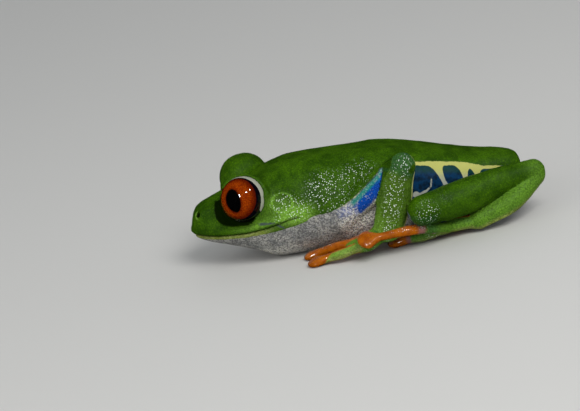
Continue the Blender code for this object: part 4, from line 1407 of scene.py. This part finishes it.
@dataclass
class Eyes:
    """The two eyeballs."""

    rings: int = 64
    segments: int = 96
    pupil_half_width: float = 20.5
    pupil_half_height: float = 31.0
    pupil_lean: float = 14.0
    pupil_drop: float = 5.5
    ring_turns: tuple[float, ...] = (0, 20, 45, 80, 110, 145, 170, 200, 250, 290, 312, 330, 345, 360)
    ring_ends: tuple[float, ...] = (79, 77, 73, 68.5, 66.2, 65.8, 67.5, 69, 72, 110, 120, 84, 80, 79)
    pupil_squareness: float = 1.9
    bulge: float = 0.1
    bulge_width: float = 38
    sinking: float = 0.05

    def build(self) -> None:
        """Makes both eyes, each in the place of its node."""
        material = EyeFinish().make()
        for side in Side:
            points, faces, masks = self._ball(side)
            eye = add_mesh(f"eyeball_{side.word}", points, faces, masks, material)
            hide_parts(f"eye_{side.word}")

    def _ball(self, side: Side) -> tuple[Array, Array, dict[str, Array]]:
        """Vertices, faces and masks of one eye, with a pole at the pupil."""
        shape = EYES[side]
        gaze = unit(shape.gaze)
        level = unit(np.cross((0, 0, 1), gaze))
        above = np.cross(gaze, level)
        angle = np.radians(np.linspace(0, 180, self.rings + 1)[1:-1])
        turn = np.radians(np.arange(self.segments) * 360 / self.segments)
        angle, turn = (a.ravel() for a in np.meshgrid(angle, turn, indexing="ij"))
        angle, turn = np.concatenate([[0], angle, [math.pi]]), np.concatenate([[0], turn, [0]])
        beside = np.sin(angle)[:, None] * (np.cos(turn)[:, None] * level + np.sin(turn)[:, None] * above)
        radius = shape.radius + self.bulge * bell(np.degrees(angle), self.bulge_width) - self.sinking
        points = shape.centre + radius[:, None] * (np.cos(angle)[:, None] * gaze + beside)
        degrees, turn_degrees = np.degrees(angle), np.degrees(turn) % 360
        lean = turn - math.radians(self.pupil_lean)
        across = degrees * np.cos(lean) / self.pupil_half_width
        up = (degrees * np.sin(lean) + self.pupil_drop) / self.pupil_half_height
        power = self.pupil_squareness
        slit = (np.abs(across) ** power + np.abs(up) ** power) ** (1 / power) - 1
        ring = degrees - rise(self.ring_turns, self.ring_ends, turn_degrees)
        points *= (1, side.value, 1)
        masks = {"angle": degrees, "slit": slit, "turn": (turn_degrees + 180) % 360 - 180, "ring": ring}
        return points, self._faces(side), masks

    def _faces(self, side: Side) -> Array:
        """Triangles at the two poles and split quads between them, facing out."""
        count, last = self.segments, 1 + (self.rings - 2) * self.segments
        faces = []
        for k in range(count):
            after = (k + 1) % count
            faces += [(0, 1 + k, 1 + after), (last + count, last + after, last + k)]
            for start in range(1, last, count):
                a, b = start + k, start + after
                faces += [(a, a + count, b + count), (a, b + count, b)]
        return np.array(faces)[:, :: side.value]


@dataclass
class Studio:
    """Pale floor, soft lights and the camera."""

    aim: Point = (17.8, -8.0, 10.6)
    distance: float = 400.0
    elevation: float = 17.0
    roll: float = 11.0
    sensor: float = 36.0
    millimetres_across: float = 105.4545
    # name, direction, distance, size and power
    lamps: tuple[tuple[str, Point, float, float, float], ...] = (
        ("key", (0.30, -0.62, 0.72), 0.6, 0.30, 2.15),
        ("fill", (-0.80, -0.50, 0.35), 0.7, 0.50, 1.1),
        ("back", (0.10, 0.85, 0.60), 0.7, 0.50, 0.3),
    )
    glint_lamp: tuple[float, ...] = (0.5, 0.042, 0.45)  # distance, size and power
    glints: tuple[Point, ...] = (
        (0.32, -0.62, 0.71),
        (0.58, -0.33, 0.74),
        (-0.25, -0.72, 0.65),
        (-0.23, -0.82, 0.53),
    )
    sky: tuple[float, ...] = (0.86, 0.90, 0.95, 1.0)
    sky_strength: float = 0.42
    floor_colour: tuple[float, ...] = (0.66, 0.65, 0.62, 1.0)
    floor_size: float = 6.0

    def build(self) -> None:
        """Sets up everything that isn't the frog."""
        self._floor()
        for lamp in self.lamps:
            self._light(*lamp).visible_glossy = False
        for direction in self.glints:
            self._light("glint", direction, *self.glint_lamp).visible_diffuse = False
        world = bpy.data.worlds.new("studio")
        world.use_nodes = True
        sky = {"Color": self.sky, "Strength": self.sky_strength}
        Wiring(world.node_tree).feed(world.node_tree.nodes["Background"], sky)
        world.cycles_visibility.glossy = False
        bpy.context.scene.world = world
        bpy.context.scene.view_settings.view_transform = "Standard"
        self._camera()

    def _floor(self) -> None:
        """A plain pale floor."""
        material, wiring = new_material("pale_floor")
        wiring.shade({"Base Color": self.floor_colour, "Roughness": 0.7})
        bpy.ops.mesh.primitive_plane_add(size=self.floor_size)
        floor = bpy.context.object
        floor.name = "floor"
        floor.data.materials.append(material)
        floor.visible_glossy = False

    @staticmethod
    def _place(name: str, data: bpy.types.ID, place: Vector, turn: Quaternion) -> bpy.types.Object:
        """Puts a lamp or camera into the scene, in metres."""
        obj = bpy.data.objects.new(name, data)
        obj.location, obj.rotation_mode, obj.rotation_quaternion = place, "QUATERNION", turn
        bpy.context.scene.collection.objects.link(obj)
        return obj

    def _light(
        self, name: str, direction: Point, distance: float, size: float, power: float
    ) -> bpy.types.Object:
        """A square lamp that looks at the frog from a direction."""
        lamp = bpy.data.lights.new(name, "AREA")
        lamp.size, lamp.energy = size, power
        towards = Vector(direction).normalized()
        return self._place(name, lamp, towards * distance, towards.to_track_quat("Z", "Y"))

    def _camera(self) -> None:
        """Looks at the frog's left side from a little above, leaning as the perch did."""
        data = bpy.data.cameras.new("camera")
        data.sensor_width = self.sensor
        data.lens = self.sensor * self.distance / self.millimetres_across
        data.clip_start, data.clip_end = 0.01, 20.0
        tilt = math.radians(self.elevation)
        back = Vector((0, -math.cos(tilt), math.sin(tilt)))
        place = Vector(to_scene(np.array(self.aim))) + back * self.distance * MM
        turn = back.to_track_quat("Z", "Y") @ Quaternion((0, 0, 1), -math.radians(self.roll))
        bpy.context.scene.camera = self._place("camera", data, place, turn)


def main() -> None:
    """Builds the frog and the studio round it."""
    logging.basicConfig(level=logging.INFO, format="%(name)s: %(message)s")
    Skin().build(Effects())
    Eyes().build()
    Studio().build()


if __name__ == "__main__":
    main()
